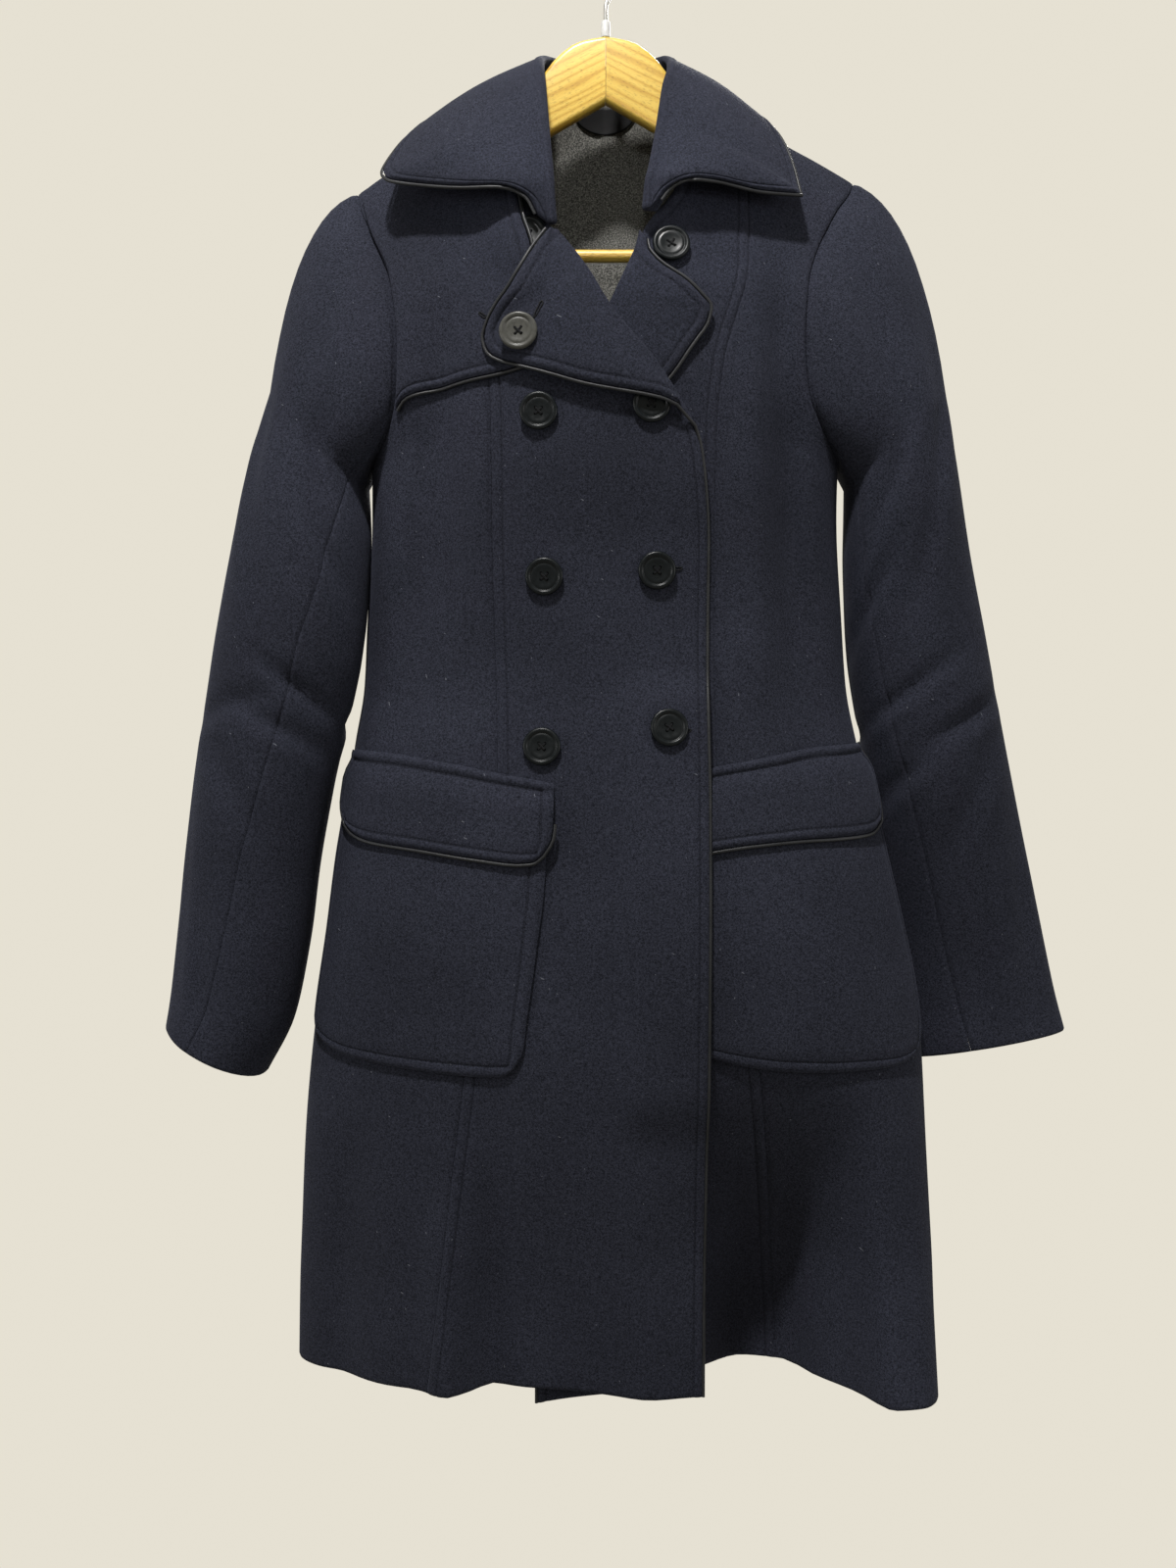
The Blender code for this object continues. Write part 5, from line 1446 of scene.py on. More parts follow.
# %% Outlines, as (x, z): left and right edge, both down, then top and bottom edge
STORM_FLAP = {
    "armhole": [
        (-184, -185), (-175.5, -215), (-158, -258), (-150.8, -304), (-151.5, -340), (-152.5, -357),
    ],
    "front": [
        (-75, -117), (-70, -165), (-64, -205), (-60.5, -222), (-54, -250), (-48, -290),
        (-47, -318), (-50, -331),
    ],
    "shoulder": [(-184, -185), (-160, -168), (-134, -152), (-105, -133), (-75, -117)],
    "hem": [
        (-152.5, -357), (-146, -349), (-134.7, -345.3), (-117, -342.5), (-92.8, -338.8),
        (-66, -334.5), (-50, -331),
    ],
}
RIGHT_POCKET = {
    "side": [(-193, -640), (-199, -680), (-204, -720), (-209.5, -760), (-215, -800), (-213, -814)],
    "front": [
        (-40, -648), (-42.6, -679), (-44.4, -709), (-48, -737), (-53, -774), (-56.6, -799),
        (-58.5, -817), (-65, -830),
    ],
    "top": [(-193, -640), (-150, -633), (-90, -638), (-40, -648)],
    "hem": [
        (-213, -814), (-205, -821), (-190, -827), (-169.6, -830.5), (-139, -834), (-109.5, -836.4),
        (-83, -837.5), (-73, -836), (-65, -830),
    ],
}
LEFT_POCKET = {
    "front": [(35, -646), (38, -709), (46, -774), (51, -806), (57, -818)],
    "side": [
        (196.5, -636), (203.5, -665), (211, -700), (221.5, -750), (228, -790), (229.5, -812),
        (224, -825),
    ],
    "top": [(35, -646), (90, -636), (150, -630), (196.5, -636)],
    "hem": [
        (57, -818), (77.5, -824), (98.6, -828.7), (125.4, -832.7), (161.5, -834.6), (199.4, -834),
        (214, -831.5), (224, -825),
    ],
}
RIGHT_FLAP = {
    "side": [(-185, -604), (-188, -620), (-191, -640), (-188, -659)],
    "front": [(-37.1, -630.3), (-37.4, -650), (-39, -668), (-45.5, -680)],
    "top": [(-185, -604), (-151.7, -608.2), (-110.6, -615.7), (-71.4, -623.7), (-37.1, -630.3)],
    "hem": [
        (-188, -659), (-182, -666), (-170.4, -671), (-129.8, -677), (-90, -683), (-60, -686.2),
        (-52, -685), (-45.5, -680),
    ],
}
LEFT_FLAP = {
    "front": [(30, -627), (30, -650), (33, -670), (40, -680)],
    "side": [(185.5, -599.5), (189, -607.4), (194, -621.6), (197.5, -640), (198, -657)],
    "top": [(30, -627), (74, -618.6), (108.8, -612.3), (145.5, -604.5), (185.5, -599.5)],
    "hem": [
        (40, -680), (52, -681), (74.5, -677), (99, -673.5), (126, -671), (163, -669),
        (188, -666.4), (198, -657),
    ],
}

# %% Lifts of the laid pieces, over the front's own
COVERED = (-56, -237)  # x and z of the button that is half under the storm flap
OVER_BUTTON = 7.8  # how far the flap rises over it


def storm_flap_lift(u, v, x, z):
    """It lies on the front and rises over the button that is half under it."""
    away = math.hypot(x - COVERED[0], z - COVERED[1])
    return LAID + 0.4 + OVER_BUTTON * math.exp(-((away / 30) ** 4))


def pocket_lift(u, v, x, z):
    """A patch pocket stands off a little in the middle."""
    return POCKET_LAID + 3.0 * math.sin(math.pi * u) * math.sin(math.pi * v) ** 2


def flap_lift(u, v, x, z):
    """A flap is sewn down along its top and then clears the pocket."""
    return POCKET_LAID + (PATCH_CLOTH + LAID + 1.3) * smooth(0.08, 0.35, v)


# %% Sew them on
def patch(sides, u, v):
    """A point inside four edges: left and right run down, top and bottom run from left."""
    left, right, top, bottom = sides
    blend = lerp(follow(left, v), follow(right, v), u) + lerp(follow(top, u), follow(bottom, u), v)
    ends = lerp(
        lerp(np.array(left[0], float), np.array(right[0], float), u),
        lerp(np.array(left[-1], float), np.array(right[-1], float), u),
        v,
    )
    return blend - ends

def laid_piece(name, side, sides, size, stitches, counts, lift, welt=0):
    """size is the nominal width and height, which set where the stitched lines fall."""
    flat = [[(girth(x, z) * QUARTER_GIRTH, z) for x, z in edge] for edge in sides]
    wide, high = size

    def place(rib, down):
        reached, fallen = reach(rib, wide), reach(down, high)
        u, v = reached / wide, fallen / high
        around, z = patch(flat, u, v)
        a = around / QUARTER_GIRTH
        x = body(a, z, side)[0]
        height = lift(u, v, x, z) + front_lift(side, x, z) + PATCH_CLOTH
        outer, inner = wall(a, z, side, height, PATCH_CLOTH)
        distances = (reached, wide - reached, fallen, high - fallen)
        outer, inner, off, along = wall_with_relief(
            outer, inner, distances, stitches, (fallen, fallen, reached, reached)
        )
        if welt:
            up = (outer - inner) / np.linalg.norm(outer - inner)
            outer = outer + up * 0.9 * math.sin(math.pi * min(fallen / welt, 1)) ** 2
        return outer, inner, off, along

    columns = ribs(counts[0], lines_beside(stitches[0]), lines_beside(stitches[1]))
    rows = ribs(counts[1], lines_beside(stitches[2]), lines_beside(stitches[3]))
    return weave(name, columns, rows, place, [navy, navy])


WELT = 7.0
POCKET_STITCHES = (STITCH_SEAM, STITCH_SEAM, 0, STITCH_SEAM)
FLAP_STITCHES = (STITCH_EDGE, STITCH_EDGE, WELT, STITCH_EDGE)
LAID_PIECES = (
    ("storm_flap", "right", STORM_FLAP, (104, 180), (0, STITCH_EDGE, 0, STITCH_EDGE), (16, 26),
     storm_flap_lift, 0),
    ("right_pocket", "right", RIGHT_POCKET, (165, 190), POCKET_STITCHES, (22, 24), pocket_lift, 0),
    ("left_pocket", "left", LEFT_POCKET, (180, 188), POCKET_STITCHES, (24, 24), pocket_lift, 0),
    ("right_pocket_flap", "right", RIGHT_FLAP, (160, 58), FLAP_STITCHES, (22, 7), flap_lift, WELT),
    ("left_pocket_flap", "left", LEFT_FLAP, (165, 58), FLAP_STITCHES, (22, 7), flap_lift, WELT),
)
for name, side, outline, size, stitches, counts, lift, welt in LAID_PIECES:
    edges = list(outline.values())
    cloths[name], grids[name] = laid_piece(name, side, edges, size, stitches, counts, lift, welt)

# %% [markdown]
# ## The collar
# One piece from front to front: a stand up the neck, a rolled fold, and a deep fall. The stations
# are measured round the neck, and each one is a small drawing of seam, fold and outer edge.

# %% Collar stations
COLLAR_SET = 2.4  # the stand starts this far from the middle of the neck edge
COLLAR_ROLL = 2.8  # radius of the fold, at the middle of the cloth
STAND_SHARE = 0.28  # where the fold's roll begins
FALL_SHARE = 0.42  # and ends
# From the right front end round the back to the left front end: neck seam, fold and outer edge.
Station = namedtuple("Station", "seam fold edge arch")
COLLAR = [
    Station((-41, -61.4, -228), (-38.5, -71, -229), (-48.5, -72.5, -225), 0.2),
    Station((-47, -59.6, -215), (-39, -70.5, -216), (-57, -72.5, -211), 0.8),
    Station((-51.5, -57.2, -203), (-39.5, -69.5, -203), (-74, -71.5, -204.5), 3),
    Station((-55, -53, -190), (-40.5, -66.5, -188), (-104, -65, -203), 6),
    Station((-58.3, -47.3, -174), (-42, -61, -170), (-134, -56, -198), 8),
    Station((-60.3, -40.3, -155.4), (-43.5, -54, -152), (-158, -49, -191.5), 10),
    Station((-61.3, -33, -139.5), (-45, -46, -134), (-162, -42, -183), 11),
    Station((-61.1, -23, -121.6), (-46.5, -34, -113), (-155.5, -30, -163), 12),
    Station((-60, -11.5, -106), (-48.5, -18, -93), (-147, -14, -143), 12),
    Station((-60, 0, -98.2), (-49.5, 0, -78), (-136, 6, -126), 12),
    Station((-54, 13.2, -96), (-46, 22, -66), (-122, 30, -122), 12),
    Station((-43.2, 28.8, -93), (-38, 38, -61), (-98, 50, -125), 11),
    Station((-23.6, 39.3, -91), (-21, 51, -59.5), (-55, 66, -130), 9),
    Station((0, 44.3, -90.2), (0, 55, -59), (0, 70, -132), 8),
    Station((23.6, 39.3, -91), (21, 51, -59.5), (50, 66, -130), 9),
    Station((43.2, 28.8, -93), (38, 38, -61), (84, 50, -125), 10),
    Station((54, 13.2, -96), (46, 22, -66), (102, 30, -121), 11),
    Station((60, 0, -98.2), (49.5, 0, -79), (113, 8, -121), 11),
    Station((60, -11.5, -106), (48, -18, -93), (121, -8, -131), 11),
    Station((61.2, -23, -121.6), (43.5, -34, -113), (130, -22, -151), 12),
    Station((61.4, -33, -139.5), (40.5, -46, -134), (136, -34, -176), 12),
    Station((60.4, -40.2, -155.4), (38, -54, -152), (140, -46, -202), 11),
    Station((57.9, -47.5, -174.3), (35, -61, -170), (112, -56, -203), 9),
    Station((52.5, -54, -190), (31.5, -66.5, -188), (78, -65, -198.5), 6),
    Station((48.5, -56.4, -199), (29, -69.5, -199), (59, -71, -199), 3),
    Station((43, -57.4, -208), (28, -69.5, -209), (45, -72, -204), 1),
    Station((37, -58.3, -217), (27.3, -69.5, -219), (36.5, -72, -214), 0.2),
]

COLLAR_KNOTS = list(range(len(COLLAR)))
COLLAR_LISTS = {
    name: [[getattr(row, name)[k] for row in COLLAR] for k in range(3)]
    for name in Station._fields[:3]
}
# The fall lies flatter than in the solid, which shows in the outline over each shoulder.
FLATTER = [1, 1, 1, 0.9, 0.75, 0.6, 0.5, 0.42, 0.38, 0.38, 0.4, 0.45, 0.6, 0.7]
ARCHES = [row.arch * share for row, share in zip(COLLAR, FLATTER + FLATTER[-2::-1])]
# Its edge stands further off the chest, which deepens its shadow.
FORWARD = [0, 2, 5, 7, 8, 8, 7, 5, 3, 1, 0, 0, 0, 0]
COLLAR_LISTS["edge"][1] = [
    y - push for y, push in zip(COLLAR_LISTS["edge"][1], FORWARD + FORWARD[-2::-1])
]


# %% The collar's surface
def collar_read(name, s):
    return np.array([through(COLLAR_KNOTS, values, s) for values in COLLAR_LISTS[name]])


@lru_cache(None)
def collar_run(s):
    """The direction of the fold, towards the left front end."""
    low, high = max(s - 0.5, 0), min(s + 0.5, COLLAR_KNOTS[-1])
    return collar_read("fold", high) - collar_read("fold", low)


@lru_cache(None)
def collar_frame(s):
    seam, fold, edge = (collar_read(name, s) for name in ("seam", "fold", "edge"))
    up = (fold - seam) / np.linalg.norm(fold - seam)
    out = edge - fold
    for along in (up, collar_run(s)):
        out = out - along * out.dot(along) / along.dot(along)
    out /= np.linalg.norm(out)
    centre = fold - up * COLLAR_ROLL
    start = centre + out * COLLAR_ROLL
    face = np.cross(collar_run(s), edge - start)
    face *= through(COLLAR_KNOTS, ARCHES, s) / np.linalg.norm(face)
    return seam + up * COLLAR_SET, up, out, centre, start, edge, face


def collar_line(s, share):
    """A point of the collar's middle surface; share runs 0 at the seam to 1 at the edge."""
    seam, up, out, centre, start, edge, face = collar_frame(s)
    if share <= STAND_SHARE:
        return lerp(seam, centre - out * COLLAR_ROLL, share / STAND_SHARE)
    if share < FALL_SHARE:
        angle = math.pi * (share - STAND_SHARE) / (FALL_SHARE - STAND_SHARE)
        return centre + COLLAR_ROLL * (up * math.sin(angle) - out * math.cos(angle))
    t = (share - FALL_SHARE) / (1 - FALL_SHARE)
    return lerp(start, edge, t) + face * math.sin(math.pi * t)


def collar_wall(share, s):
    low, high = max(s - 0.1, 0), min(s + 0.1, COLLAR_KNOTS[-1])
    along = collar_line(high, share) - collar_line(low, share)
    step = 0.03 if share <= FALL_SHARE else 0.1
    down = collar_line(s, min(share + step, 1)) - collar_line(s, max(share - step, 0))
    normal = np.cross(along, down)
    normal /= np.linalg.norm(normal)
    point = collar_line(s, share)
    return point + normal * DOUBLE_CLOTH / 2, point - normal * DOUBLE_CLOTH / 2


# %% Sew the collar
STATION_STEP = 15


def collar_place(column, s):
    _, _, _, _, start, edge, _ = collar_frame(s)
    fall = float(np.linalg.norm(edge - start))
    if isinstance(column, Rib):
        reached = reach(column, fall)
        share = lerp(FALL_SHARE, 1, reached / fall)
    else:
        share = column
        reached = -FAR if share < FALL_SHARE else 0
    outer, inner = collar_wall(share, s)
    to_edge = fall - reached if reached >= 0 else FAR
    distances = (FAR, to_edge, s * STATION_STEP, (COLLAR_KNOTS[-1] - s) * STATION_STEP)
    runs = (0, s * STATION_STEP, 0, 0)
    return wall_with_relief(outer, inner, distances, (0, STITCH_EDGE, 0, 0), runs)


collar_columns = [STAND_SHARE * i / 6 for i in range(7)]
collar_columns += [lerp(STAND_SHARE, FALL_SHARE, i / 9) for i in range(1, 10)]
collar_columns += ribs(20, [0, 3], lines_beside(STITCH_EDGE))[1:]
collar_stations = sorted({*[i / 8 for i in range(8 * COLLAR_KNOTS[-1] + 1)], 0.04, 25.96})
cloths["collar"], grids["collar"] = weave(
    "collar", collar_columns, collar_stations, collar_place, [navy, navy]
)

# %% [markdown]
# ## Leather piping
# A thin strip of leather is folded round a cord and caught in each finished edge, so that a fine
# round line shows beside the cloth. A curve with a round bevel makes it from the grid of the edge
# it follows.

# %% Piping along an edge
def rod(name, points, radius, surface, nodes, slot, sides=3):
    """A round rod through the points, in millimetres, made from a bevelled curve."""
    curve = bpy.data.curves.new(name + "_line", "CURVE")
    curve.dimensions = "3D"
    curve.bevel_depth = radius * MM
    curve.bevel_resolution = sides
    curve.use_fill_caps = True
    line = curve.splines.new("POLY")
    line.points.add(len(points) - 1)
    for spot, point in zip(line.points, points):
        spot.co = (*(np.array(point, float) * MM), 1)
    holder = bpy.data.objects.new(name + "_line", curve)
    mesh = bpy.data.meshes.new_from_object(holder)
    bpy.data.objects.remove(holder)
    bpy.data.curves.remove(curve)
    bm = bmesh.new()
    bm.from_mesh(mesh)
    bpy.data.meshes.remove(mesh)
    bmesh.ops.recalc_face_normals(bm, faces=bm.faces)
    return finish_piece(name, bm, [surface], nodes, slot)


def beside(grid, path):
    """Points just outside a cloth's edge, for piping; path lists its edge's (i, j) in order."""
    last = ends_of(grid)
    middles = {key: (grid[key][0] + grid[key][1]) / 2 for key in grid}
    aways = []
    side = 0
    for n, (i, j) in enumerate(path):
        point = middles[i, j]
        before = point - middles[path[max(n - 1, 0)]]
        after = middles[path[min(n + 1, len(path) - 1)]] - point
        runs = [run / np.linalg.norm(run) for run in (before, after) if run.any()]
        run = sum(runs)
        away = np.cross(run, grid[i, j][0] - grid[i, j][1])
        away /= np.linalg.norm(away)
        side += away.dot(point - middles[min(max(i, 1), last[0] - 1), min(max(j, 1), last[1] - 1)])
        aways.append(away / max(np.linalg.norm(run) / len(runs), 0.6))
    reach = math.copysign(PIPING + LAID, side)
    return [middles[key] + away * reach for key, away in zip(path, aways)]

# %% Pipe the collar, the storm flap and the pocket flaps
trims = {}


def pipe(name, points):
    trims[name] = rod("leather_" + name, points, PIPING, leather, [name], "black_leather")


def pipe_edge(name, cloth, path_of):
    """path_of gives the edge's (i, j) in order from the grid's last column and row."""
    pipe(name, beside(grids[cloth], path_of(*ends_of(grids[cloth]))))


pipe_edge("piping_collar", "collar", lambda i, j: [
    (i, n) for n, s in enumerate(collar_stations) if 0.1 <= s <= len(COLLAR) - 1.1
])
pipe_edge("piping_storm_flap", "storm_flap", lambda i, j: (
    [(i, n) for n in range(round(j * 0.27), j)] + [(n, j) for n in range(i, -1, -1)]
))
pipe_edge("piping_right_flap", "right_pocket_flap", lambda i, j: (
    [(0, n) for n in range(2, j)] + [(n, j) for n in range(i + 1)]
    + [(i, n) for n in range(j - 1, j // 2, -1)]
))
pipe_edge("piping_left_flap", "left_pocket_flap", lambda i, j: (
    [(n, j) for n in range(i + 1)] + [(i, n) for n in range(j - 1, 1, -1)]
))


# %% Pipe the fronts, from the lapel over the break and down to the hem
TIGHTER = 1.1  # closer to the cloth than in the solid, so that no light shows between


def front_piping(name, side, first_row):
    grid = grids[side + "_lapel"]
    last_i, last_j = ends_of(grid)
    path = [(last_i, j) for j, v in enumerate(lapel_rows[side]) if v >= 0.01]
    points = beside(grid, path)
    grid = grids[side + "_front_centre"]
    last_i, last_j = ends_of(grid)
    rows = panel_rows(CELL)
    first = next(j for j, row in enumerate(rows) if row >= first_row)
    tighter = np.array([SIGN[side] * TIGHTER, 0, 0])
    path = [(last_i, j) for j in range(first, last_j + 1)]
    down = [spot + tighter for spot in beside(grid, path)]
    outer, inner = grid[last_i, first][:2]
    rise = (outer - inner) / np.linalg.norm(outer - inner)
    step = (points[-1] - down[0]) * 0.45
    over = down[0] + np.array([0, 0, step[2]]) + rise * (CLOTH / 2 + PIPING + LAID)
    edge_x = SEAM_TABLES["edge"][side].read("x", over[2])
    over[0] = edge_x - SIGN[side] * (PIPING + LAID - TIGHTER)
    pipe(name, points + [over] + down)


front_piping("piping_right_front", "right", UNDERARM_ROW)
front_piping("piping_left_front", "left", 1)
print("pipings:", len([o for o in collection.objects if o.name.startswith("leather_")]))

# %% [markdown]
# ## Buttons
# A four-hole coat button is turned: a wide raised rim, a groove, and a dished middle with four
# drilled holes. One profile is spun once, drilled with a boolean, and copied nine times. Thread
# crosses through the holes and winds down into a short shank under the button.

# %% Turn and drill one button
SPUN = [
    (0, 0), (11.2, 0), (12.6, 0.35), (13.45, 1.0), (13.6, 1.75), (13.45, 2.45), (12.9, 3.15),
    (12.1, 3.5), (11.2, 3.45), (10.5, 3.05), (10.1, 2.5), (9.7, 2.3), (9.2, 2.38), (8.6, 2.62),
    (7.6, 2.6), (6.4, 2.35), (4.8, 2.12), (2.4, 2.0), (0, 1.97),
]
HOLE = 1.05
HOLE_AT = 3.1
HOLES = [
    (HOLE_AT * math.cos(turn), HOLE_AT * math.sin(turn))
    for turn in (math.radians(45 + 90 * k) for k in range(4))
]


def spun(profile, steps):
    """Spin a profile of (radius, height) about Z."""
    bm = bmesh.new()
    points = [bm.verts.new((radius * MM, 0, height * MM)) for radius, height in profile]
    lines = [bm.edges.new(pair) for pair in zip(points, points[1:])]
    bmesh.ops.spin(
        bm, geom=points + lines, cent=(0, 0, 0), axis=(0, 0, 1), angle=2 * math.pi, steps=steps,
        use_merge=True,
    )
    bmesh.ops.remove_doubles(bm, verts=bm.verts, dist=1e-6)
    bmesh.ops.recalc_face_normals(bm, faces=bm.faces)
    return bm


def drilled_button():
    bm = spun(SPUN, 72)
    blank = bpy.data.meshes.new("button_blank")
    bm.to_mesh(blank)
    bm.free()
    body_piece = bpy.data.objects.new("button_blank", blank)
    bm = bmesh.new()
    for x, y in HOLES:
        at = Matrix.Translation((x * MM, y * MM, 0))
        bmesh.ops.create_cone(
            bm, cap_ends=True, segments=20, radius1=HOLE * MM, radius2=HOLE * MM,
            depth=12 * MM, matrix=at,
        )
    drill_mesh = bpy.data.meshes.new("button_drill")
    bm.to_mesh(drill_mesh)
    bm.free()
    drill = bpy.data.objects.new("button_drill", drill_mesh)
    for each in (body_piece, drill):
        collection.objects.link(each)
    cut = body_piece.modifiers.new("holes", "BOOLEAN")
    cut.object = drill
    cut.operation = "DIFFERENCE"
    bpy.context.view_layer.update()
    graph = bpy.context.evaluated_depsgraph_get()
    made = bpy.data.meshes.new_from_object(body_piece.evaluated_get(graph))
    for each in (body_piece, drill):
        bpy.data.objects.remove(each)
    return made


button_mesh = drilled_button()
print("button:", len(button_mesh.polygons), "faces")


# %% Thread through the holes
def strand(bm, start, end, radius, segments=10):
    """A short round thread between two points in the button's own place."""
    start, end = Vector(start) * MM, Vector(end) * MM
    run = end - start
    turned = run.to_track_quat("Z", "Y").to_matrix().to_4x4()
    matrix = Matrix.Translation((start + end) / 2) @ turned
    found = bmesh.ops.create_cone(
        bm, cap_ends=True, segments=segments, radius1=radius * MM, radius2=radius * MM,
        depth=run.length, matrix=matrix,
    )
    faces = {face for vert in found["verts"] for face in vert.link_faces}
    for face in faces:
        face.material_index = 1


def sew_button(bm, shank):
    for first, second in ((0, 2), (1, 3)):
        lift = 0.35 if first else 0
        for side in (-0.32, 0.32):
            (x0, y0), (x1, y1) = HOLES[first], HOLES[second]
            nx, ny = (y1 - y0) / (2 * HOLE_AT) * side, (x0 - x1) / (2 * HOLE_AT) * side
            a, b = (x0 + nx, y0 + ny), (x1 + nx, y1 + ny)
            strand(bm, (*a, 1.0), (*a, 2.35 + lift), 0.3)
            strand(bm, (*a, 2.3 + lift), (*b, 2.3 + lift), 0.33)
            strand(bm, (*b, 2.35 + lift), (*b, 1.0), 0.3)
    if shank > 0.3:
        strand(bm, (0, 0, -shank + 0.15), (0, 0, 0.2), 2.2, 20)


# %% Place the buttons
# off is the thread shank: how far the button stands off what it is sewn to.
Button = namedtuple("Button", "name side x z carrier off")
BUTTONS = [
    Button("button_right_lapel", "right", -61.5, -312.4, "lapel", 1.5),
    Button("button_left_collar", "left", 46.2, -242.6, "front", 2.4),
    Button("button_right_collar", "right", -56, -236.5, "front", 2.6),
    Button("button_right_1", "right", -47.9, -366, "front", 1.0),
    Button("button_left_1", "right", 31.2, -361, "front", 1.0),
    Button("button_right_2", "right", -44.4, -481.5, "front", 1.0),
    Button("button_left_2", "right", 35.4, -477.3, "front", 1.0),
    Button("button_right_3", "right", -45.8, -604.2, "front", 1.0),
    Button("button_left_3", "right", 42.4, -592.3, "front", 0.8),
]
LAPEL_AT_BUTTON = 8.4  # height of the lapel's face above the right front, at its button

def standing(point, up):
    """The matrix that puts the origin at the point and Z along up."""
    up = up / np.linalg.norm(up)
    side = np.cross([0, 0, 1.0], up)
    if np.linalg.norm(side) < 1e-6:
        side = np.array([1.0, 0, 0])
    side /= np.linalg.norm(side)
    matrix = np.eye(4)
    matrix[:3, 0] = side
    matrix[:3, 1] = np.cross(up, side)
    matrix[:3, 2] = up
    matrix[:3, 3] = point
    return matrix

for row in BUTTONS:
    a = girth(row.x, row.z)
    lift = front_lift(row.side, row.x, row.z)
    lift += LAPEL_AT_BUTTON if row.carrier == "lapel" else 0
    normal = outward(a, row.z, row.side)
    point = body(a, row.z, row.side) + normal * (lift + row.off)
    matrix = Matrix(standing(point, normal).tolist())
    matrix.translation *= MM
    turn = 25 * noise.noise(Vector((row.x, row.z, 0)))
    bm = bmesh.new()
    bm.from_mesh(button_mesh)
    sew_button(bm, row.off)
    matrix = matrix @ Matrix.Rotation(math.radians(turn), 4, "Z")
    bmesh.ops.transform(bm, matrix=matrix, verts=bm.verts)
    # The lapel's button takes the plastic that is painted lighter as a painted highlight.
    surfaces = [lapel_painted_highlight_plastic if row.carrier == "lapel" else dark_plastic, thread_black]
    finish_piece("turned_" + row.name, bm, surfaces, [row.name], "dark_plastic", 38)
print("buttons:", len(BUTTONS))

# %% [markdown]
# ## Buttonholes
# The three buttons nearest the right front's edge each have a keyhole buttonhole, whose worked end
# shows past the rim, and the lapel and the storm flap have one each. A closed ring of thread with
# one rounder end makes it, laid on the face of the cloth.

# %% Worked keyholes
Keyhole = namedtuple("Keyhole", "name cloth x z slope length")
KEYHOLES = [
    Keyhole("keyhole_1", "right_front_centre", 42.0, -360.0, 4, 17),
    Keyhole("keyhole_2", "right_front_centre", 45.0, -476.4, 3, 18),
    Keyhole("keyhole_3", "right_front_centre", 51.0, -592.5, 3, 17),
    Keyhole("keyhole_lapel", "right_lapel", -48.5, -296.0, 63, 13),
    Keyhole("keyhole_storm_flap", "storm_flap", -89.0, -295.0, -40, 6),
]
EYE = 0.8  # how much rounder one end of the hole is


def face_depth(cloth, x, z):
    """The y of a cloth's outer face at x, z, from its four nearest points."""
    spots = np.array([value[0] for value in grids[cloth].values()])
    away = np.hypot(spots[:, 0] - x, spots[:, 2] - z)
    near = np.argsort(away)[:4]
    weight = 1 / (away[near] + 0.05)
    return float((spots[near, 1] * weight).sum() / weight.sum())


for row in KEYHOLES:
    slope = math.radians(row.slope)
    points = []
    for k in range(37):
        turn = 2 * math.pi * k / 36
        reach_x = row.length / 2 * math.cos(turn)
        reach_z = (0.9 + EYE * smooth(0.3, 0.9, math.cos(turn))) * math.sin(turn)
        x = row.x + reach_x * math.cos(slope) - reach_z * math.sin(slope)
        z = row.z + reach_x * math.sin(slope) + reach_z * math.cos(slope)
        points.append((x, face_depth(row.cloth, x, z) - 0.25, z))
    rod(row.name, points, 0.5, thread_black, [], "navy_melton", 2)
print("keyholes:", len(KEYHOLES))

# %% [markdown]
# ## The hanger
# Two flat boards meet in a mitre at the neck, each cut to the slope of a shoulder and rounded over
# with a router. A trouser bar is glued between them, and a bent wire hook stands in a white
# ferrule.

# %% Saw and round the two arms
HANGER_THICK = 12
HANGER_UNDER_SHOULDER = 8.5
HANGER_END = 178
ARM_TOP = [(0, -62), (20, -66), (38, -79), (50, -95), (60, -106)]
ARM_NOTCH = [(0, -112), (43, -137)]
ARM_DEPTH = 50
BAR_END = 152
BAR_Z = -228
BAR_RADIUS = 4.8
WIRE = 1.7
CROWN_RADIUS = 14.5
FERRULE = (3.5, -62, -49)  # radius, bottom and top


def arm_outline():
    """The arm's front outline from the mitre outwards and back, as (distance out, z)."""
    top = resample(ARM_TOP[:-1], 7)
    outs = [NECK_X + (HANGER_END - NECK_X) * i / 7 for i in range(8)]
    top += [np.array([x, SHOULDER_TABLE.read("right", x) - HANGER_UNDER_SHOULDER]) for x in outs]
    low = [np.array([HANGER_END - 3, BAR_Z - 9]), np.array([BAR_END, BAR_Z - 9])]
    low += [np.array([x, SHOULDER_TABLE.read("right", x) - ARM_DEPTH]) for x in (BAR_END, 120, 85)]
    return top + low + [np.array(ARM_NOTCH[1], float), np.array(ARM_NOTCH[0], float)]

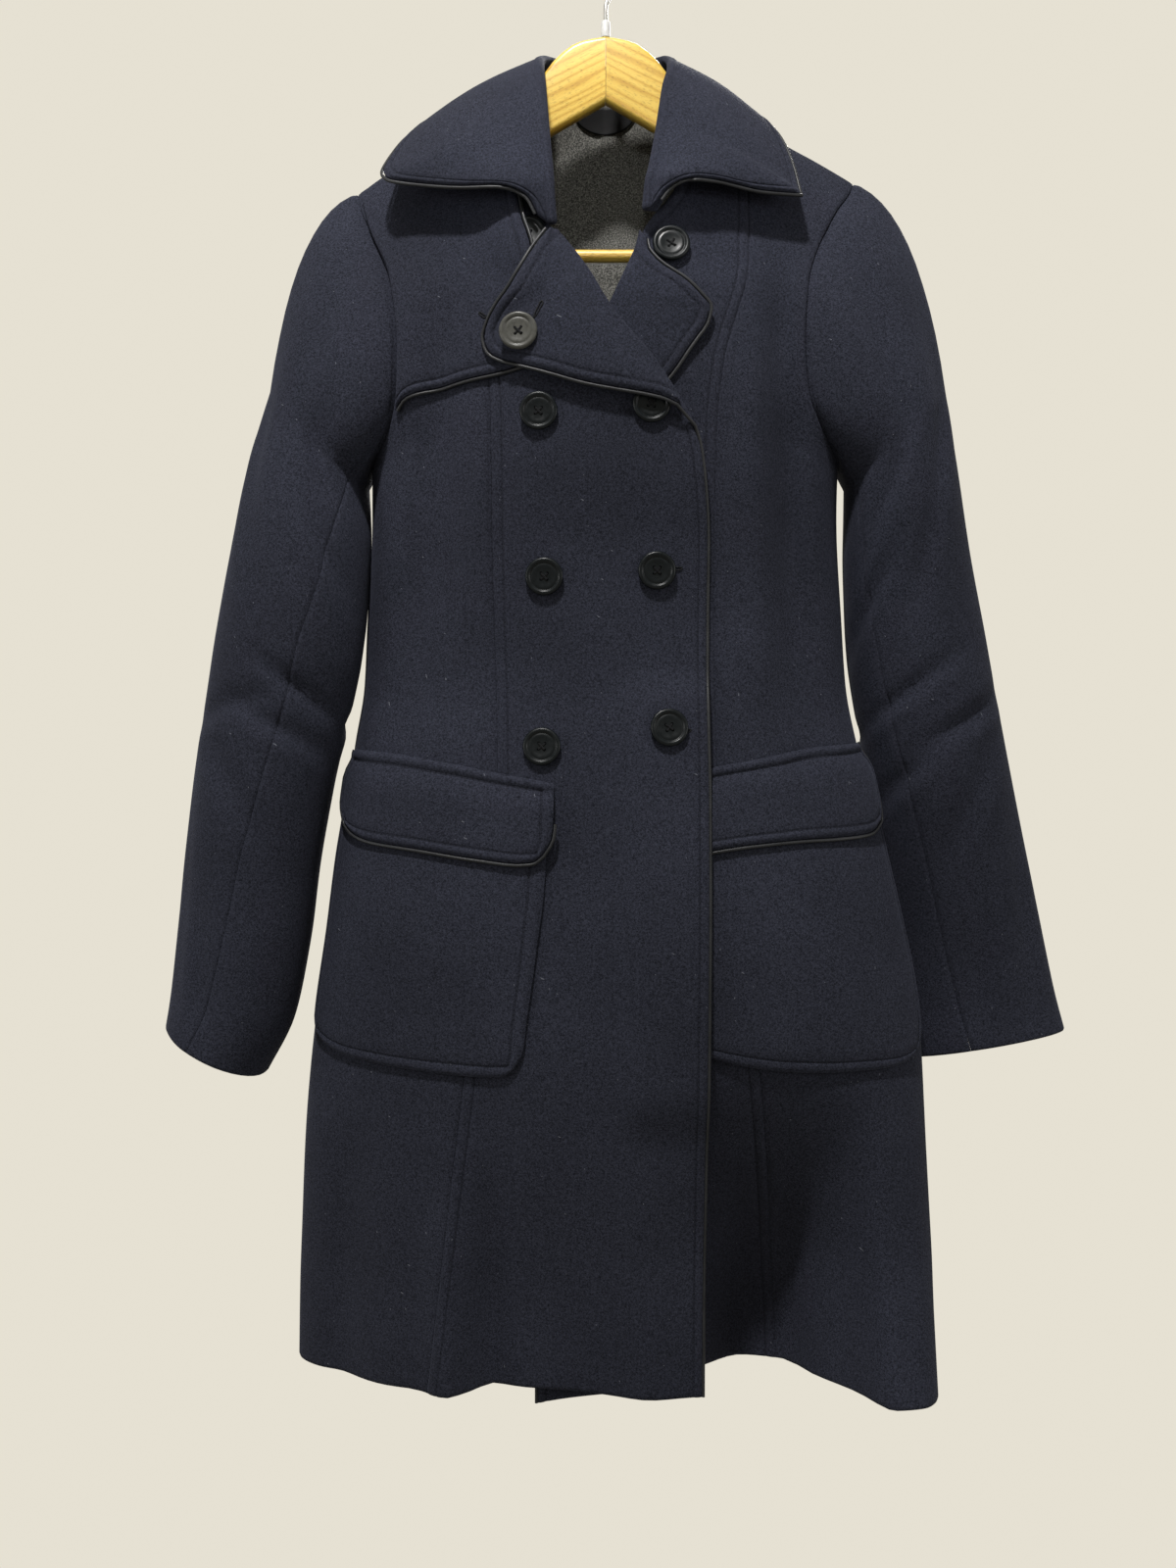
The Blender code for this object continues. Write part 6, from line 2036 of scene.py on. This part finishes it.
def hanger_arm(side):
    bm = bmesh.new()
    outline = arm_outline()
    face = bm.faces.new([
        bm.verts.new(Vector((SIGN[side] * (out + SEAM / 2), -HANGER_THICK / 2, z)) * MM)
        for out, z in outline
    ])
    made = bmesh.ops.extrude_face_region(bm, geom=[face], use_keep_orig=True)
    moved = [item for item in made["geom"] if isinstance(item, bmesh.types.BMVert)]
    bmesh.ops.translate(bm, verts=moved, vec=(0, HANGER_THICK * MM, 0))
    bmesh.ops.recalc_face_normals(bm, faces=bm.faces)
    away = 2 * MM
    rim = [
        e for e in bm.edges
        if max(abs(v.co.x) for v in e.verts) > away
        and abs(e.verts[0].co.y - e.verts[1].co.y) < 1e-6
    ]
    bmesh.ops.bevel(
        bm, geom=rim, offset=4 * MM, segments=5, profile=0.5, affect="EDGES", clamp_overlap=True,
        material=-1,
    )
    nodes = [f"hanger_arm_{side}"]
    return finish_piece(f"wood_arm_{side}", bm, [wood[side]], nodes, "pale_wood", 35)


arms = [hanger_arm(side) for side in ("right", "left")]
print("arms:", [len(arm.data.polygons) for arm in arms], "faces")

# %% Bar, ferrule and hook
BAR_EDGE = 0.6
bar_long = BAR_END * 2 - 2 * SEAM
bm = spun([
    (0, 0), (BAR_RADIUS - BAR_EDGE, 0), (BAR_RADIUS, BAR_EDGE), (BAR_RADIUS, bar_long - BAR_EDGE),
    (BAR_RADIUS - BAR_EDGE, bar_long), (0, bar_long),
], 40)
start = Vector((-BAR_END + SEAM, 0, BAR_Z)) * MM
lay = Matrix.Translation(start) @ Matrix.Rotation(math.pi / 2, 4, "Y")
bmesh.ops.transform(bm, matrix=lay, verts=bm.verts)
finish_piece("wood_bar", bm, [wood["bar"]], ["hanger_bar"], "pale_wood", 40)
ferrule_radius, ferrule_low, ferrule_high = FERRULE
bm = spun([
    (0, ferrule_low + SEAM), (ferrule_radius, ferrule_low + SEAM),
    (ferrule_radius, ferrule_high - 1), (ferrule_radius - 0.8, ferrule_high), (0, ferrule_high),
], 32)
finish_piece("white_ferrule", bm, [white], ["hanger_ferrule"], "white_plastic", 40)
crown = -(CROWN_RADIUS - WIRE)
hook = []
for i in range(61):
    angle = math.radians(205 - 250 * i / 60)
    hook.append((CROWN_RADIUS * math.cos(angle), 0, crown + CROWN_RADIUS * math.sin(angle)))
bend = [
    hook[-1], (6.5, 0, -27.5), (2.2, 0, -32), (0.3, 0, -37), (0, 0, -42),
    (0, 0, FERRULE[2] + SEAM),
]
hook += [follow(bend, i / 24) for i in range(1, 25)]
rod("wire_hook", hook, WIRE, wire, ["hanger_hook"], "bright_steel", 6)

# %% [markdown]
# ## The neck patch
# A bare half-moon of black satin is sewn under the back neck seam.

# %% Satin half-moon
LABEL_HALF = 26
LABEL_TOP = -95
LABEL_DEEP = 20
LABEL_CLOTH = 1.0


def label_place(rib, row):
    reached = reach(rib, 2 * LABEL_HALF)
    x = reached - LABEL_HALF
    low = LABEL_TOP - LABEL_DEEP * math.sqrt(max(1.08 - (x / LABEL_HALF) ** 2, 0))
    z = lerp(LABEL_TOP, low, row)
    outer, inner = wall(2 - girth(x, z), z, "left", -CLOTH - LAID, LABEL_CLOTH)
    return outer, inner, 9.0, 0.0


neck_patch = weave(
    "satin_patch", ribs(24, [0, 0.8], [0, 0.8]), even(14), label_place, [satin, satin],
    ["neck_label"], "black_satin",
)[0]

# %% [markdown]
# ## Floor and light
# The coat hangs in a pale room. The key lamp in front, above and to the left gives the collar its
# shadow on the chest. A narrow spot reaches through the neck to the inside, a weak lamp at each
# side lights the sleeves, one behind parts the coat from the wall, and the pale world fills the
# rest.

# %% Pale floor
def plain(name, colour, roughness):
    made, tree, shader = new_material(name, roughness)
    dust = speckle(tree, object_place(tree), 14, 3)
    tone = ramp(tree, dust, (0.3, tuple(v * 0.97 for v in colour)), (0.7, colour))
    tree.links.new(tone, shader.inputs["Base Color"])
    return made


bm = bmesh.new()
bmesh.ops.create_grid(bm, x_segments=4, y_segments=4, size=1.6)
bmesh.ops.translate(bm, verts=bm.verts, vec=(0, -0.75, -1.75))
floor_mesh = bpy.data.meshes.new("floor")
bm.to_mesh(floor_mesh)
bm.free()
floor = bpy.data.objects.new("floor", floor_mesh)
floor_mesh.materials.append(plain("pale_floor", (0.40, 0.385, 0.355), 0.8))
collection.objects.link(floor)
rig.stage(floor)

# %% Lamps and world
def lamp(name, kind, place, target, power, colour=(1, 1, 1), **settings):
    """A lamp aimed at a target; settings are the sizes and shapes of its own kind."""
    data = bpy.data.lights.new(name, kind)
    data.energy = power
    data.color = colour
    for key, value in settings.items():
        setattr(data, key, value)
    made = bpy.data.objects.new(name, data)
    made.location = place
    aim = Vector(target) - Vector(place)
    made.rotation_euler = aim.to_track_quat("-Z", "Y").to_euler()
    collection.objects.link(made)


lamp("key", "AREA", (-0.25, -0.95, 1.25), (0, 0, -0.45), 118, (1.0, 0.985, 0.97),
     shape="DISK", size=0.16)
lamp("through_the_neck", "SPOT", (0.02, -1.3, -0.16), (0.005, 0.045, -0.185), 125,
     spot_size=math.radians(6), spot_blend=0.9, shadow_soft_size=0.12)
lamp("side_right", "AREA", (-1.5, -0.75, -0.3), (0, 0, -0.6), 14, shape="DISK", size=0.7)
lamp("side_left", "AREA", (1.5, -0.75, -0.3), (0, 0, -0.6), 12, shape="DISK", size=0.7)
lamp("behind", "AREA", (0.35, 1.5, 0.9), (0, 0, -0.5), 60, (1.0, 0.99, 0.98),
     shape="DISK", size=0.8)
world = bpy.data.worlds.new("room")
world.use_nodes = True
backdrop = world.node_tree.nodes["Background"]
backdrop.inputs["Color"].default_value = (0.79, 0.75, 0.65, 1)
backdrop.inputs["Strength"].default_value = 1.0
bpy.context.scene.world = world
bpy.context.scene.view_settings.view_transform = "Standard"

# %% [markdown]
# ## What is cloth
# Each sheet is declared with its flat size and with what holds it. There is no pattern to read the
# sizes from. Those in the table were measured on an earlier state of each piece's own grid, and
# the areas on its outer face, so they repeat the shape and don't confirm it. The band's and the
# patch's come from this script's own numbers. The panels hang from the hanger's arms, the sleeves
# from the body, and the rest lies on the coat.

Cut = namedtuple("Cut", "width length area held carriers piping", defaults=[()])
RIGHT_ARM, LEFT_ARM = ["wood_arm_right"], ["wood_arm_left"]
CUTS = {
    "right_front_centre": Cut(0.215, 1.030, 0.139, "hung", RIGHT_ARM, ["piping_right_front"]),
    "right_front_side": Cut(0.157, 0.962, 0.117, "hung", RIGHT_ARM),
    "left_front_centre": Cut(0.200, 1.026, 0.128, "hung", LEFT_ARM, ["piping_left_front"]),
    "left_front_side": Cut(0.169, 0.983, 0.119, "hung", LEFT_ARM),
    "back_right": Cut(0.264, 0.987, 0.205, "hung", RIGHT_ARM),
    "back_left": Cut(0.284, 0.990, 0.209, "hung", LEFT_ARM),
    "right_sleeve_top": Cut(0.306, 0.654, 0.100, "hung", ["cloth_right_front_side"]),
    "right_sleeve_under": Cut(0.193, 0.591, 0.075, "hung", ["cloth_back_right"]),
    "left_sleeve_top": Cut(0.323, 0.677, 0.110, "hung", ["cloth_left_front_side"]),
    "left_sleeve_under": Cut(0.192, 0.605, 0.069, "hung", ["cloth_back_left"]),
    "right_lapel": Cut(0.093, 0.248, 0.0088, "folded", ["cloth_right_front_centre"]),
    "left_lapel": Cut(0.075, 0.235, 0.0081, "folded", ["cloth_left_front_centre"]),
    "storm_flap": Cut(
        0.130, 0.233, 0.0236, "laid", ["cloth_right_front_side"], ["piping_storm_flap"]
    ),
    "right_pocket": Cut(0.185, 0.202, 0.0356, "laid", ["cloth_right_front_side"]),
    "left_pocket": Cut(0.205, 0.211, 0.0390, "laid", ["cloth_left_front_side"]),
    "right_pocket_flap": Cut(
        0.182, 0.069, 0.0112, "laid", ["cloth_right_pocket"], ["piping_right_flap"]
    ),
    "left_pocket_flap": Cut(
        0.201, 0.073, 0.0123, "laid", ["cloth_left_pocket"], ["piping_left_flap"]
    ),
    "collar": Cut(
        0.156, 0.744, 0.0642, "folded", ["cloth_back_right", "cloth_back_left"], ["piping_collar"]
    ),
}


def outer_area(grid):
    """Area of a grid's outer face, in square metres."""
    last_i, last_j = ends_of(grid)
    spots = np.array([[grid[i, j][0] for j in range(last_j + 1)] for i in range(last_i + 1)])
    first = spots[1:, 1:] - spots[:-1, :-1]
    second = spots[1:, :-1] - spots[:-1, 1:]
    return float(np.linalg.norm(np.cross(first, second), axis=2).sum()) / 2 * MM**2


for name, cut in CUTS.items():
    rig.sheet(
        cloths[name], flat=(cut.width, cut.length), held=cut.held, rests_on=cut.carriers,
        area=min(cut.area, cut.width * cut.length), with_pieces=[trims[key] for key in cut.piping],
    )
    print(name, "cut area", cut.area, "now", round(outer_area(grids[name]), 4))
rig.sheet(band, flat=(0.0135, 0.950), held="laid", rests_on=["cloth_back_left"])
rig.sheet(
    neck_patch, flat=(0.052, 0.0208), held="laid", rests_on=["cloth_back_left"], area=0.00086,
)

# %% Finish
table_low, table_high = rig.bounds()
with open("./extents.json", "w") as out:
    json.dump(
        {"cad": [list(cad_low), list(cad_high)], "visual": [list(table_low), list(table_high)]}, out
    )
